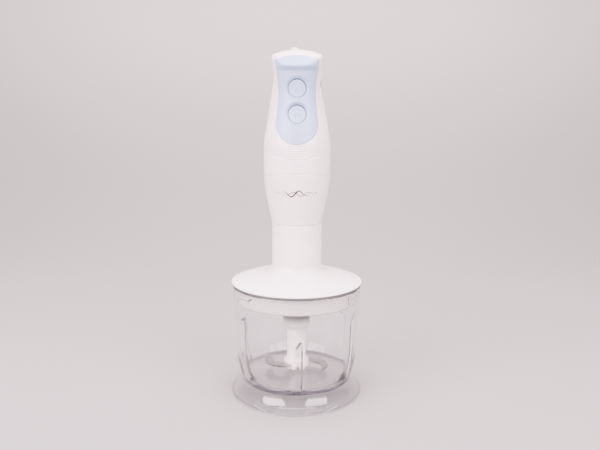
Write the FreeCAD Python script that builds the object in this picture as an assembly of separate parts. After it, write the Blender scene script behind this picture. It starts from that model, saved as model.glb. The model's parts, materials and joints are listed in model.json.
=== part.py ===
"""Hand blender with a chopper bowl: a motor handle locked onto a geared lid, over a clear bowl with a
two-armed blade.

Millimetres, +Z up. The origin is at the centre of the bowl's foot, on the surface that it stands on. The
grip panel with its two buttons faces -Y. Azimuths are measured from -Y towards +X.
"""
import FreeCAD
import Part
import math
import os

V = FreeCAD.Vector
UP = V(0, 0, 1)
AXIS_POINT = V(0, 0, 0)
TINY = 0.01

# ---------------------------------------------------------------- clearances
run_gap = 0.05          # radial, a shaft in its bush
slide_gap = 0.2         # a piece that slides in a hole
turn_gap = 0.3          # between pieces that turn or lift apart
seam_gap = 0.25         # butt joints between covers
bury = 0.8              # how deep a lug or rib is rooted in its wall

# ---------------------------------------------------------------- bowl
bowl_radius = 62.8
bowl_top = 109.5
bowl_wall = 2.6
bowl_taper = 8.0        # the floor is this much smaller in radius than the rim
bowl_shoulder = 47.0    # height where the curved lower wall turns straight
floor_top = 20.5
floor_thickness = 4.0
floor_corner = 3.0
foot_flare = 10.2
foot_wall = 2.2
foot_lip = 1.8
rib_depth = 3.0
rib_crest = 3.1
rib_ramp = 6.5          # width of the sloping side of a rib
tall_rib_top = 86.0
short_rib_top = 71.3
tall_rib_azimuths = (-56.0, 64.0, 184.0)
short_rib_azimuths = (4.0, 124.0, 244.0)
pin_radius = 2.0
pin_top = 40.0
pin_boss_radius = 5.5
pin_boss_height = 1.5

# ---------------------------------------------------------------- bayonets
lug_height = 3.6
lug_span = 16.0         # degrees
ramp_span = 22.0
ramp_height = 3.0
stop_span = 2.5
stop_play = 0.3         # degrees between a lug and its stop
lid_lug_drop = 7.0      # from the bowl's rim down to the top of the lid's lugs
bayonet_room = 1.8      # radial room between skirt and bowl wall
lug_room = 0.75         # from the lid's lugs to the bowl's bore at its rim

# ---------------------------------------------------------------- lid
seal_height = 1.35
seal_width = 1.6
lid_overhang = 1.0
lid_wall = 2.4
lid_slope_rise = 10.5   # from the rim's underside to the foot of the neck's fillet
neck_radius = 24.05
neck_wall = 2.4
neck_height = 59.8      # from the rim's underside to the neck's top
neck_fillet = 9.5
skirt_wall = 2.0
skirt_depth = 15.0      # below the bowl's rim
plate_thickness = 2.0
plate_drop = 4.0        # from the bowl's rim down to the plate's top
boss_radius = 12.0
boss_length = 21.5
seal_cup_radius = 13.7
seal_cup_length = 21.0
seal_cup_drop = 17.0    # below the boss's end
seal_cup_round = 3.0
screw_circle = 44.0
screw_post_radius = 3.4
screw_radius = 1.4
screw_head_radius = 2.7
screw_head_height = 1.8

# ---------------------------------------------------------------- reduction gears in the lid
gear_module = 0.8
sun_teeth = 12
planet_teeth = 18
ring_teeth = sun_teeth + 2 * planet_teeth
planet_count = 3
pressure_angle = 20.0   # degrees
tooth_addendum = 0.64
tooth_dedendum = 0.86
tooth_backlash = 0.12
gear_width = 7.5
ring_gear_width = 10.5
carrier_thickness = 5.0
planet_pin_radius = 1.5
drive_shaft_radius = 2.5
output_radius = 4.0
output_lug_reach = 2.4
output_lug_half_angle = 16.0
bush_wall = 2.5
cup_radius = 9.6
cup_wall = 1.6
cup_depth = 10.0
dog_radius = 4.3
dog_reach = 3.3
dog_half_angle = 15.0

# ---------------------------------------------------------------- blade
hub_radius = 9.35
hub_top = 76.0
hub_collar_radius = 12.0
hub_collar_height = 9.0
hub_socket_radius = 7.0
hub_socket_depth = 13.5
blade_thickness = 1.5
blade_height = 26.6     # underside of the lower arm
blade_step = 2.4        # the upper arm is this much higher
blade_reach = 32.0      # radius of the arms' outer edge

# ---------------------------------------------------------------- motor handle
spigot_radius = 19.2
spigot_wall = 2.2
spigot_length = 17.8
spigot_lug_drop = 9.0   # from the neck's top down to the top of the spigot's lugs
body_radius = 31.75
body_rise = 50.0        # from the handle's foot to its widest level
body_barrel = 20.0      # length of the widest part
grip_taper = 59.0       # from the widest part to the waist
grip_top = 32.5         # from the waist to the crown
waist_half_width = 21.5
waist_front = 24.0
waist_back = 24.5
shoulder_half_width = 24.4
lip_squareness = 0.9    # added to the front sections' power of two by the crown
shoulder_back = 26.0
lip_front = 30.5
crown_radius = 62.0
crown_edge = 2.4
shell_wall = 2.8
seam_height = 43.4      # from the handle's foot to the seam, at the sides
seam_slope = 0.19
seam_lip_wall = 1.2
seam_lip_depth = 4.0

# ---------------------------------------------------------------- grip panel and buttons
panel_proud = 0.35
panel_depth = 1.5
panel_gap = 0.15
panel_top_half_width = 20.4
panel_waist_half_width = 17.3
panel_belly_half_width = 19.6
panel_top_drop = 7.0    # from the crown to the panel's top edge, on the centre line
panel_corner_drop = 11.2
panel_belly_drop = 66.5
lip_slope = 52.0        # degrees above the horizontal
lip_edge_drop = 15.4    # from the crown to the thumb lip's edge
lip_edge_front = 29.0
upper_button_drop = 36.0
lower_button_drop = 59.1
button_radius = 7.9
button_dish = 1.05      # how deep the dish round a button is cut
button_dish_ring = 2.3
button_below = 0.55     # the button's face is this far below the panel
button_travel = 1.6
button_flange = 0.7
button_flange_height = 1.4
button_dot_radius = 0.8
button_dot_height = 0.35
button_stem_radius = 2.0
plunger_radius = 1.0
plunger_length = 2.0
vent_count = 6
vent_pitch = 2.3
vent_half_width = 8.0
vent_depth = 0.5
vent_height = 0.7

# ---------------------------------------------------------------- cord inlet
inlet_offset = -2.6     # to the left of the centre plane
inlet_back = 12.0
inlet_tilt = 50.0       # degrees from the vertical, towards the back
inlet_bore = 3.4
inlet_bush_radius = 5.2
inlet_bush_out = 5.0
inlet_bush_in = 5.0
inlet_flange = 1.3
inlet_flange_height = 1.4

# ---------------------------------------------------------------- motor
stator_radius = 26.0
stator_length = 26.0
stator_rise = 29.0      # from the handle's foot to the stator's underside
armature_radius = 14.6
air_gap = 0.6
coil_reach = 4.2
coil_overhang = 5.7
slot_half_angle = 25.0
armature_slots = 12
commutator_radius = 8.5
commutator_length = 11.0
commutator_rise = 13.0  # from the stator's top to the commutator's underside
fan_radius = 18.4
fan_blades = 9
bearing_radius = 6.0
bearing_length = 7.0
brush_width = 5.0
brush_height = 6.4
tie_radius = 21.5
tie_screw_radius = 1.1
tie_post_radius = 1.8
bracket_plate = 3.0
bracket_rise = 4.6      # from the lower bearing's underside to its plate

# ---------------------------------------------------------------- switch board
board_half_width = 10.5
board_thickness = 1.6
board_front = -6.6
switch_depth = 5.8
switch_half_length = 6.4
switch_half_height = 3.0
wire_radius = 0.9

# ---------------------------------------------------------------- places worked out from the sizes
base_radius = bowl_radius - bowl_taper
foot_radius = base_radius + foot_flare
bowl_bore = bowl_radius - bowl_wall
floor_under = floor_top - floor_thickness
skirt_radius = bowl_bore - bayonet_room
rim_under = bowl_top + seal_height + TINY * 15
neck_top = rim_under + neck_height
neck_bore = neck_radius - neck_wall
plate_top = bowl_top - plate_drop
plate_under = plate_top - plate_thickness
boss_end = plate_under - boss_length
lid_inside = rim_under + lid_slope_rise - lid_wall
ring_gear_low = lid_inside + 1.9
ring_gear_top = ring_gear_low + ring_gear_width
gear_plate_top = ring_gear_top + 2.3
gear_low = ring_gear_low + 2.0
carrier_top = gear_low - turn_gap
carrier_low = carrier_top - carrier_thickness
cup_low = gear_plate_top + 4.2
cup_floor = cup_low + 4.0
sun_pitch = gear_module * sun_teeth / 2
planet_pitch = gear_module * planet_teeth / 2
ring_pitch = gear_module * ring_teeth / 2
planet_circle = sun_pitch + planet_pitch
handle_foot = neck_top + turn_gap
spigot_end = handle_foot - spigot_length
barrel_low = handle_foot + body_rise
barrel_top = barrel_low + body_barrel
waist = barrel_top + grip_taper
crown = waist + grip_top
seam_side = handle_foot + seam_height
stator_low = handle_foot + stator_rise
stator_top = stator_low + stator_length
stator_bore = armature_radius + air_gap
commutator_low = stator_top + commutator_rise
brush_middle = commutator_low + commutator_length / 2
top_bearing_low = commutator_low + commutator_length + 3.0
top_bearing_top = top_bearing_low + 4.5
shaft_top = top_bearing_top + 3.0
bottom_bearing_low = handle_foot + 7.0
bottom_bearing_top = bottom_bearing_low + bearing_length
fan_low = bottom_bearing_top + 2.0
fan_top = stator_low - coil_overhang - 1.2
upper_button = crown - upper_button_drop
lower_button = crown - lower_button_drop
board_top = upper_button + button_radius + 7.0
board_low = lower_button - button_radius - 6.5
upper_post = board_top - 2.8
lower_post = board_low + 2.8
housing_screw_level = crown - 15.2
housing_screw_x = 9.0
switch_front = board_front - switch_depth


# ---------------------------------------------------------------- helpers
def save(name, shape):
    """Writes one node as closed solids, and says if something is wrong with them."""
    solids = shape.Solids
    if not solids or not shape.isValid():
        raise RuntimeError(f"{name}: {len(solids)} solids, valid {shape.isValid()}")
    whole = solids[0] if len(solids) == 1 else Part.makeCompound(solids)
    whole.exportStep(f"parts/{name}.step")
    print(f"{name:24s} solids {len(solids):2d}  volume {whole.Volume:10.1f}")


def cylinder(radius, low, high, x=0.0, y=0.0):
    return Part.makeCylinder(radius, high - low, V(x, y, low))


def tube(outer, inner, low, high):
    return cylinder(outer, low, high).cut(cylinder(inner, low - 1, high + 1))


def box(x0, x1, y0, y1, z0, z1):
    return Part.makeBox(x1 - x0, y1 - y0, z1 - z0, V(x0, y0, z0))


def rod(radius, start, end):
    """A round bar from one point to another."""
    return Part.makeCylinder(radius, (end - start).Length, start, end - start)


def turned(shape, degrees):
    """A copy, turned about the object's upright axis."""
    copy = shape.copy()
    copy.rotate(AXIS_POINT, UP, degrees)
    return copy


def round_the_axis(shape, count):
    return [turned(shape, 360.0 * k / count) for k in range(count)]


def fuse_all(shapes):
    return shapes[0].multiFuse(shapes[1:]).removeSplitter()


def outline(start, *steps):
    """A closed wire in the XZ plane: a step is a point, or (middle, end) for an arc. Points are (x, z)."""
    edges = []
    here = start
    for step in steps + (start,):
        there = step[1] if isinstance(step[0], tuple) else step
        a = V(here[0], 0, here[1])
        b = V(there[0], 0, there[1])
        if (b - a).Length > 1e-6:
            if isinstance(step[0], tuple):
                middle = V(step[0][0], 0, step[0][1])
                edges.append(Part.Arc(a, middle, b).toShape())
            else:
                edges.append(Part.makeLine(a, b))
        here = there
    return Part.Wire(edges)


def spun(start, *steps):
    """A solid turned from an outline about the upright axis."""
    return Part.Face(outline(start, *steps)).revolve(AXIS_POINT, UP, 360)


def direction(azimuth):
    a = math.radians(azimuth - 90.0)
    return V(math.cos(a), math.sin(a), 0)


def sector(inner, outer, low, high, start, end):
    """Part of a ring between two azimuths."""
    middle = (start + end) / 2
    edges = [
        Part.Arc(direction(start) * inner, direction(middle) * inner, direction(end) * inner).toShape(),
        Part.makeLine(direction(end) * inner, direction(end) * outer),
        Part.Arc(direction(end) * outer, direction(middle) * outer, direction(start) * outer).toShape(),
        Part.makeLine(direction(start) * outer, direction(start) * inner),
    ]
    solid = Part.Face(Part.Wire(edges)).extrude(V(0, 0, high - low))
    solid.translate(V(0, 0, low))
    return solid


def prism(points, low, high):
    """A flat polygon of (x, y) points, raised from one level to another."""
    corners = [V(x, y, low) for x, y in points]
    return Part.Face(Part.makePolygon(corners + corners[:1])).extrude(V(0, 0, high - low))


def involute(angle):
    return math.tan(angle) - angle


def gear_points(teeth, tip, root, thickness):
    """Corners of a gear with a tooth on +X: tip and root radii, and the tooth's thickness at its pitch."""
    pitch = gear_module * teeth / 2
    base = pitch * math.cos(math.radians(pressure_angle))
    half = thickness / (2 * pitch) + involute(math.radians(pressure_angle))
    flank = []
    for k in range(5):
        radius = max(base, root) + (tip - max(base, root)) * k / 4
        flank.append((radius, half - involute(math.acos(base / radius))))
    if root < base:
        flank.insert(0, (root, flank[0][1]))
    points = []
    for tooth in range(teeth):
        middle = 2 * math.pi * tooth / teeth
        for radius, angle in flank:
            points.append((radius * math.cos(middle - angle), radius * math.sin(middle - angle)))
        for radius, angle in reversed(flank):
            points.append((radius * math.cos(middle + angle), radius * math.sin(middle + angle)))
    return points


def screw(shank, head, head_height, start, end):
    """A plain screw: its head is at the start, outside the run from start to end."""
    back = (start - end).normalize() * head_height
    slot_depth = head_height / 2
    body = rod(shank, start, end).fuse(rod(head, start, start + back))
    socket = rod(head * 0.45, start + back, start + back * (1 - slot_depth / head_height))
    return body.cut(socket)


# ---------------------------------------------------------------- the handle's outer form
def smooth(t):
    t = max(0.0, min(1.0, t))
    return t * t * (3 - 2 * t)


def reach(z):
    """Half width, front reach and back reach of the handle's skin at a height."""
    climb = (z - handle_foot) / body_rise
    if climb <= 1:
        swell = math.sin(math.pi / 2 * climb) ** 1.15 if climb > 0 else 0.0
        radius = neck_radius + (body_radius - neck_radius) * swell
        return radius, radius, radius
    narrowing = smooth((z - barrel_top) / grip_taper)
    above = max(0.0, (z - waist) / (grip_top - 4.5))
    flare = above ** 1.6
    width = body_radius - (body_radius - waist_half_width) * narrowing
    front = body_radius - (body_radius - waist_front) * narrowing
    back = body_radius - (body_radius - waist_back) * narrowing
    width += (shoulder_half_width - waist_half_width) * flare
    front += (lip_front - waist_front) * smooth(above * 1.27)
    back += (shoulder_back - waist_back) * flare
    return width, front, back


def handle_section(z, grow):
    width, front, back = reach(z)
    power = 2 + lip_squareness * smooth((z - waist + 10) / 28)
    points = []
    for k in range(24):
        a = 2 * math.pi * k / 24
        x = math.cos(a)
        y = math.sin(a)
        if y < 0:
            longer = (abs(x) ** power + abs(y) ** power) ** (-1 / power)
            points.append(V((width + grow) * x * longer, (front + grow) * y * longer, z))
        else:
            points.append(V((width + grow) * x, (back + grow) * y, z))
    curve = Part.BSplineCurve()
    curve.interpolate(points, PeriodicFlag=True)
    return Part.Wire(curve.toShape())


def lip_cutter(grow):
    """The wedge of space above the slope of the thumb lip."""
    a = math.radians(lip_slope)
    up_slope = V(0, math.cos(a), math.sin(a))
    outward = V(0, -math.sin(a), math.cos(a))
    edge = V(0, -lip_edge_front, crown - lip_edge_drop) + outward * grow
    side = V(90, 0, 0)
    run = up_slope * 60
    corners = [edge - side - run, edge + side - run, edge + side + run, edge - side + run]
    return Part.Face(Part.makePolygon(corners + corners[:1])).extrude(outward * 90)


def handle_body(grow, low=None, edge=0.0):
    """The handle's skin, grown or shrunk by a distance: a loft, under a domed crown and a sloping lip."""
    low = handle_foot if low is None else low
    high = crown + 3
    count = 17
    levels = [low + (high - low) * k / (count - 1) for k in range(count)]
    loft = Part.makeLoft([handle_section(z, grow) for z in levels], True, False, False)
    ball_radius = crown_radius + grow
    ball = Part.makeSphere(ball_radius, V(0, 0, crown - crown_radius))
    above_crown = box(-90, 90, -90, 90, crown - 12, crown + 30).cut(ball)
    shape = loft.cut(above_crown).cut(lip_cutter(grow))
    if edge > 0:
        lip_edge = crown - lip_edge_drop - 3
        rim = [e for e in shape.Edges if e.BoundBox.ZMin > lip_edge and e.Length > 8]
        shape = shape.makeFillet(edge, rim)
    return shape


def seam_side_of(offset, above):
    """A big block that lies above or below the sloping seam between the housings."""
    far = 90.0
    z_front = seam_side + seam_slope * far + offset
    z_back = seam_side - seam_slope * far + offset
    end = crown + 60 if above else spigot_end - 20
    face = Part.Face(Part.makePolygon([
        V(-far, -far, z_front), V(-far, far, z_back), V(-far, far, end), V(-far, -far, end),
        V(-far, -far, z_front)]))
    return face.extrude(V(2 * far, 0, 0))


# ---------------------------------------------------------------- bowl
def bowl_skin(inset, top):
    """The wall's outline, moved in by a distance, from the floor's corner up: three radii and heights."""
    shoulder = bowl_radius - 2.2 - inset
    corner = base_radius - inset
    belly = (corner + 0.6 * (shoulder - corner), floor_under + 0.5 * (bowl_shoulder - floor_under))
    return corner, belly, (shoulder, bowl_shoulder), (bowl_radius - inset, top)


def bowl_cavity(grow, top):
    """The space inside the wall, grown by a distance, with its corners square."""
    corner, belly, shoulder, rim = bowl_skin(bowl_wall - grow, top)
    low = floor_under + 1.5
    return spun((0, low), (corner, low), (belly, shoulder), rim, (0, top))


def bowl_rib(azimuth, top):
    """A saw-tooth rib on the inside of the wall: steep on one side, a ramp on the other, its end slanted."""
    crest = rib_crest / 2
    ramp_foot = -crest - rib_ramp
    mean = bowl_bore - 3.2
    plan = prism([
        (-crest, 20 - mean), (-crest, rib_depth - mean), (ramp_foot, -1.5 - mean), (ramp_foot, -12 - mean),
        (crest + 0.8, -12 - mean), (crest + 0.8, -mean), (crest, rib_depth - mean), (crest, 20 - mean)],
        floor_under + 2, top + 1)
    side = Part.Face(outline(
        (ramp_foot - 2, floor_under), (crest + 2, floor_under), (crest + 2, top),
        (crest, top), (ramp_foot - 2, top + ramp_foot - 2 - crest))).extrude(V(0, -100, 0))
    shell = bowl_cavity(bury, top + 2).cut(bowl_cavity(-rib_depth, top + 4))
    return turned(plan.common(side), azimuth).common(shell)


def bayonet(wall_radius, tip_radius, lug_top, azimuths, outward_wall):
    """Ramps over the lugs' places, with a stop at one end. Returns solids rooted in the outer wall."""
    shapes = []
    root = wall_radius + bury if outward_wall else wall_radius - bury
    inner = min(root, tip_radius)
    outer = max(root, tip_radius)
    ramp_low = lug_top + 0.4
    for azimuth in azimuths:
        first = azimuth - lug_span / 2 - stop_play
        shapes.append(sector(inner, outer, ramp_low, ramp_low + ramp_height, first, first + ramp_span))
        shapes.append(sector(inner, outer, lug_top - lug_height, ramp_low + ramp_height,
                             first - stop_span, first + TINY))
    return shapes


def lugs(wall_radius, tip_radius, lug_top, azimuths):
    half = lug_span / 2
    return [sector(wall_radius - bury, tip_radius, lug_top - lug_height, lug_top, a - half, a + half)
            for a in azimuths]


def make_bowl():
    corner, belly, shoulder, rim = bowl_skin(0, bowl_top)
    in_corner, in_belly, in_shoulder, in_rim = bowl_skin(bowl_wall, bowl_top)
    flare_mid = (base_radius + 0.33 * foot_flare, 0.42 * floor_under)
    corner_mid = (in_corner - 0.3 * floor_corner, floor_top + 0.3 * floor_corner)
    in_corner_top = (in_corner + 0.35, floor_top + floor_corner)
    in_belly_high = (in_belly[0], in_belly[1] + floor_corner / 2)
    shape = spun(
        (foot_radius - foot_wall, 0), (foot_radius, 0), (foot_radius, foot_lip),
        (flare_mid, (base_radius - 0.5, floor_under - 0.6)),
        ((base_radius - 0.1, floor_under + 0.1), (base_radius, floor_under + 1.2)),
        (belly, shoulder), rim, in_rim, in_shoulder,
        (in_belly_high, in_corner_top),
        (corner_mid, (in_corner - floor_corner, floor_top)),
        (pin_boss_radius + 1, floor_top), (pin_boss_radius, floor_top + pin_boss_height),
        (pin_radius, floor_top + pin_boss_height), (pin_radius, floor_under), (base_radius - 4, floor_under),
        ((flare_mid[0] - foot_wall, flare_mid[1] + 0.6), (foot_radius - foot_wall, foot_lip)))
    parts = [shape]
    parts += [bowl_rib(a, tall_rib_top) for a in tall_rib_azimuths]
    parts += [bowl_rib(a, short_rib_top) for a in short_rib_azimuths]
    parts += bayonet(bowl_bore - 0.2, skirt_radius + turn_gap, bowl_top - lid_lug_drop,
                     tall_rib_azimuths, True)
    save("bowl", fuse_all(parts))
    pin = cylinder(pin_radius, floor_under + TINY, pin_top)
    tip = [e for e in pin.Edges if e.BoundBox.ZMin > pin_top - 0.1]
    save("pivot_pin", pin.makeFillet(pin_radius * 0.6, tip))


# ---------------------------------------------------------------- blade
def blade_arm():
    """One scythe-shaped arm, flat, starting inside the hub's collar. The outer edge is ground to a bevel."""
    k = blade_reach / 32.0
    root = hub_collar_radius - 4.0
    outer_edge = Part.BSplineCurve()
    outer_edge.interpolate([V(x * k, y * k, 0) for x, y in
                            ((0.0, root / k), (14.0, 18.4), (24.5, 15.0), (31.0, 3.0), (31.0, -11.0),
                             (24.5, -22.0))])
    inner_edge = Part.BSplineCurve()
    inner_edge.interpolate([V(x * k, y * k, 0) for x, y in
                            ((24.5, -22.0), (25.0, -11.0), (22.0, -1.5), (14.5, 6.0), (root / k, 0.0))])
    close = Part.makeLine(V(root, 0, 0), V(0, root, 0))
    wire = Part.Wire([outer_edge.toShape(), inner_edge.toShape(), close])
    arm = Part.Face(wire).extrude(V(0, 0, blade_thickness))
    ground = [e for e in arm.Edges
              if e.BoundBox.ZMin > blade_thickness - 0.1 and e.Length > 1.3 * blade_reach]
    longest = max(ground, key=lambda e: e.Length)
    return arm.makeChamfer(blade_thickness * 0.6, blade_thickness * 1.4, [longest])


def make_blade():
    hub_low = floor_top + pin_boss_height + turn_gap
    collar_low = blade_height - 1.6
    arm = blade_arm()
    lower = arm.copy()
    lower.translate(V(0, 0, blade_height))
    upper = turned(arm, 180)
    upper.translate(V(0, 0, blade_height + blade_step))
    save("lower_blade", lower)
    save("upper_blade", upper)
    collar = cylinder(hub_collar_radius, collar_low, collar_low + hub_collar_height)
    collar = collar.makeFillet(1.2, [e for e in collar.Edges if abs(e.Length - 2 * math.pi * hub_collar_radius) < 1])
    body = cylinder(hub_radius, hub_low, hub_top)
    body = body.makeFillet(0.6, [e for e in body.Edges if abs(e.Length - 2 * math.pi * hub_radius) < 1])
    hub = body.fuse(collar)
    hub = hub.cut(cylinder(pin_radius + run_gap, hub_low - 1, pin_top + run_gap))
    hub = hub.cut(cylinder(hub_socket_radius, hub_top - hub_socket_depth, hub_top + 1))
    notch = box(-5.6, -3.2, -hub_radius - 2, -hub_radius + 3.5, hub_low - 1, hub_low + 2.2)
    hub = hub.cut(notch).cut(lower).cut(upper)
    ribs = [sector(output_radius + 1.1, hub_socket_radius + bury, hub_top - hub_socket_depth - TINY,
                   hub_top - 2, a - output_lug_half_angle, a + output_lug_half_angle) for a in (90, 270)]
    save("blade_hub", fuse_all([hub] + ribs))


# ---------------------------------------------------------------- lid
def make_lid():
    rim_radius = bowl_radius + lid_overhang
    fillet_foot = (neck_radius + neck_fillet, rim_under + lid_slope_rise)
    fillet_top = (neck_radius, rim_under + lid_slope_rise + neck_fillet + 0.6)
    fillet_mid = (neck_radius + 0.27 * neck_fillet, fillet_foot[1] + 0.34 * neck_fillet)
    slope_mid = ((rim_radius + fillet_foot[0]) / 2, rim_under + 0.68 * lid_slope_rise)
    inside_foot = (neck_radius + 3.5, lid_inside)
    inside_mid = (slope_mid[0] - 0.6, slope_mid[1] - lid_wall)
    shell = spun(
        (bowl_bore + 0.6, rim_under), (rim_radius, rim_under),
        (rim_radius, rim_under + 0.5),
        ((rim_radius - 0.25, rim_under + 1.4), (rim_radius - 1.2, rim_under + 2.2)),
        (slope_mid, fillet_foot), (fillet_mid, fillet_top),
        (neck_radius, neck_top), (neck_bore + 0.95, neck_top), (neck_bore + 0.95, neck_top - 4.5),
        (neck_bore, neck_top - 5.2), (neck_bore, lid_inside), inside_foot,
        (inside_mid, (bowl_bore - 0.4, rim_under + 1.0)))
    ledge = tube(neck_bore + bury, neck_bore - 2.1, gear_plate_top + seam_gap, gear_plate_top + seam_gap + 2)
    ramps = bayonet(neck_bore, spigot_radius + turn_gap, neck_top - spigot_lug_drop, (30, 150, 270), True)
    posts = []
    holes = []
    post_top = slope_mid[1] - 0.6
    for k in range(3):
        where = direction(120 * k + 4) * screw_circle
        posts.append(cylinder(screw_post_radius, plate_top + seam_gap, post_top, where.x, where.y))
        holes.append(cylinder(screw_radius, plate_under - 1, post_top - 1.8, where.x, where.y))
    shell = fuse_all([shell, ledge] + ramps + posts)
    for hole in holes:
        shell = shell.cut(hole)
    save("lid_shell", shell)

    skirt_low = bowl_top - skirt_depth
    base = spun(
        (skirt_radius - skirt_wall, skirt_low), (skirt_radius, skirt_low), (skirt_radius, rim_under - seam_gap),
        (skirt_radius - skirt_wall, rim_under - seam_gap), (skirt_radius - skirt_wall, plate_top),
        (neck_bore - turn_gap, plate_top), (neck_bore - turn_gap, ring_gear_low - 0.1),
        (neck_bore - turn_gap - 2.2, ring_gear_low - 0.1), (neck_bore - turn_gap - 2.2, plate_top),
        (output_radius + bush_wall + run_gap, plate_top), (output_radius + bush_wall + run_gap, boss_end),
        (boss_radius, boss_end), (boss_radius, plate_under), (skirt_radius - skirt_wall, plate_under))
    base = fuse_all([base] + lugs(skirt_radius, bowl_bore - lug_room, bowl_top - lid_lug_drop,
                                  tall_rib_azimuths))
    screws = []
    for k in range(3):
        where = direction(120 * k + 4) * screw_circle
        base = base.cut(cylinder(screw_radius + slide_gap, plate_under - 1, plate_top + 1, where.x, where.y))
        screws.append(screw(screw_radius, screw_head_radius, screw_head_height,
                            V(where.x, where.y, plate_under), V(where.x, where.y, plate_top + 7.5)))
    save("lid_base", base)
    save("lid_screws", Part.makeCompound(screws))

    save("lid_seal", tube(bowl_radius - 0.2, bowl_radius - 0.2 - seal_width, bowl_top + TINY,
                          bowl_top + seal_height))
    cup_end = boss_end - seal_cup_drop
    round_off = seal_cup_round
    save("spindle_seal", spun(
        (hub_radius + 1.1, cup_end), (seal_cup_radius - round_off, cup_end),
        ((seal_cup_radius - 0.29 * round_off, cup_end + 0.29 * round_off),
         (seal_cup_radius, cup_end + round_off)),
        (seal_cup_radius, cup_end + seal_cup_length), (boss_radius + TINY, cup_end + seal_cup_length),
        (boss_radius + TINY, boss_end - TINY), (boss_radius - 1.6, boss_end - TINY),
        (hub_radius + 1.1, boss_end - 3)))


def make_gears():
    thickness = math.pi * gear_module / 2
    ring = tube(neck_bore - slide_gap, ring_pitch - 2, ring_gear_low, ring_gear_top)
    spaces = gear_points(ring_teeth, ring_pitch + tooth_dedendum, ring_pitch - tooth_addendum,
                         thickness + tooth_backlash)
    teeth = prism(spaces, ring_gear_low - 1, ring_gear_top + 1)
    body = cylinder(neck_bore - slide_gap, ring_gear_low, ring_gear_top)
    ring = body.cut(turned(teeth, 180.0 / ring_teeth))
    save("ring_gear", ring)

    sun = prism(gear_points(sun_teeth, sun_pitch + tooth_addendum, sun_pitch - tooth_dedendum,
                            thickness - tooth_backlash), gear_low, gear_low + gear_width + 0.5)
    save("sun_gear", sun.cut(cylinder(drive_shaft_radius, gear_low - 1, gear_low + gear_width + 2)))
    planet = prism(gear_points(planet_teeth, planet_pitch + tooth_addendum, planet_pitch - tooth_dedendum,
                               thickness - tooth_backlash), gear_low, gear_low + gear_width)
    planet = turned(planet, 180.0 / planet_teeth)
    planet = planet.cut(cylinder(planet_pin_radius + run_gap, gear_low - 1, gear_low + gear_width + 1))
    planet.translate(V(planet_circle, 0, 0))
    for k, copy in enumerate(round_the_axis(planet, planet_count)):
        save(f"planet_gear_{k + 1}", copy)

    pin = cylinder(planet_pin_radius, carrier_low, gear_low + gear_width + 0.4, planet_circle, 0)
    pins = round_the_axis(pin, planet_count)
    save("planet_pins", Part.makeCompound(pins))
    bush_top = plate_top + 1.5
    carrier = cylinder(planet_circle + 4.6, carrier_low, carrier_top)
    carrier = carrier.fuse(cylinder(output_radius + 4.5, bush_top + turn_gap, carrier_low))
    for copy in pins:
        carrier = carrier.cut(copy)
    carrier = carrier.cut(cylinder(output_radius, bush_top - 5, carrier_top + 1))
    save("planet_carrier", carrier)

    spindle_end = hub_top - 11.5
    spindle = cylinder(output_radius, spindle_end, carrier_top)
    spindle = spindle.cut(cylinder(drive_shaft_radius + run_gap, carrier_top - 4.0, carrier_top + 1))
    wings = [sector(output_radius - bury, output_radius + output_lug_reach, spindle_end, hub_top - 2.5,
                    a - output_lug_half_angle, a + output_lug_half_angle) for a in (0, 180)]
    save("output_spindle", fuse_all([spindle] + wings))
    bush = tube(output_radius + bush_wall, output_radius + run_gap, boss_end + 2, plate_top)
    flange = tube(output_radius + bush_wall + 2.5, output_radius + run_gap, plate_top + TINY, bush_top)
    save("output_bush", fuse_all([bush, flange.fuse(tube(output_radius + bush_wall,
                                                         output_radius + run_gap,
                                                         plate_top - 1, plate_top + 1))]))

    plate = tube(neck_bore - slide_gap, drive_shaft_radius + bush_wall, ring_gear_top + 0.05, gear_plate_top)
    save("gearbox_plate", plate)
    inlet_bush = tube(drive_shaft_radius + bush_wall, drive_shaft_radius + run_gap,
                      ring_gear_top + 0.05, gear_plate_top + 3.0)
    save("input_bush", inlet_bush.fuse(tube(drive_shaft_radius + bush_wall + 1.5,
                                            drive_shaft_radius + bush_wall - 1,
                                            gear_plate_top + TINY, gear_plate_top + 1.2)).removeSplitter())
    shaft = cylinder(drive_shaft_radius, carrier_top - 3.5, cup_floor)
    save("input_shaft", shaft)
    cup = cylinder(cup_radius, cup_low, cup_floor + cup_depth)
    cup = cup.cut(cylinder(cup_radius - cup_wall, cup_floor, cup_floor + cup_depth + 1))
    cup = cup.cut(cylinder(drive_shaft_radius, cup_low - 1, cup_floor + 1))
    teeth = [sector(dog_radius + turn_gap, cup_radius - cup_wall + bury, cup_floor - TINY,
                    cup_floor + cup_depth - 1.5, a - dog_half_angle, a + dog_half_angle) for a in (90, 270)]
    save("input_coupling", fuse_all([cup] + teeth))


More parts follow.
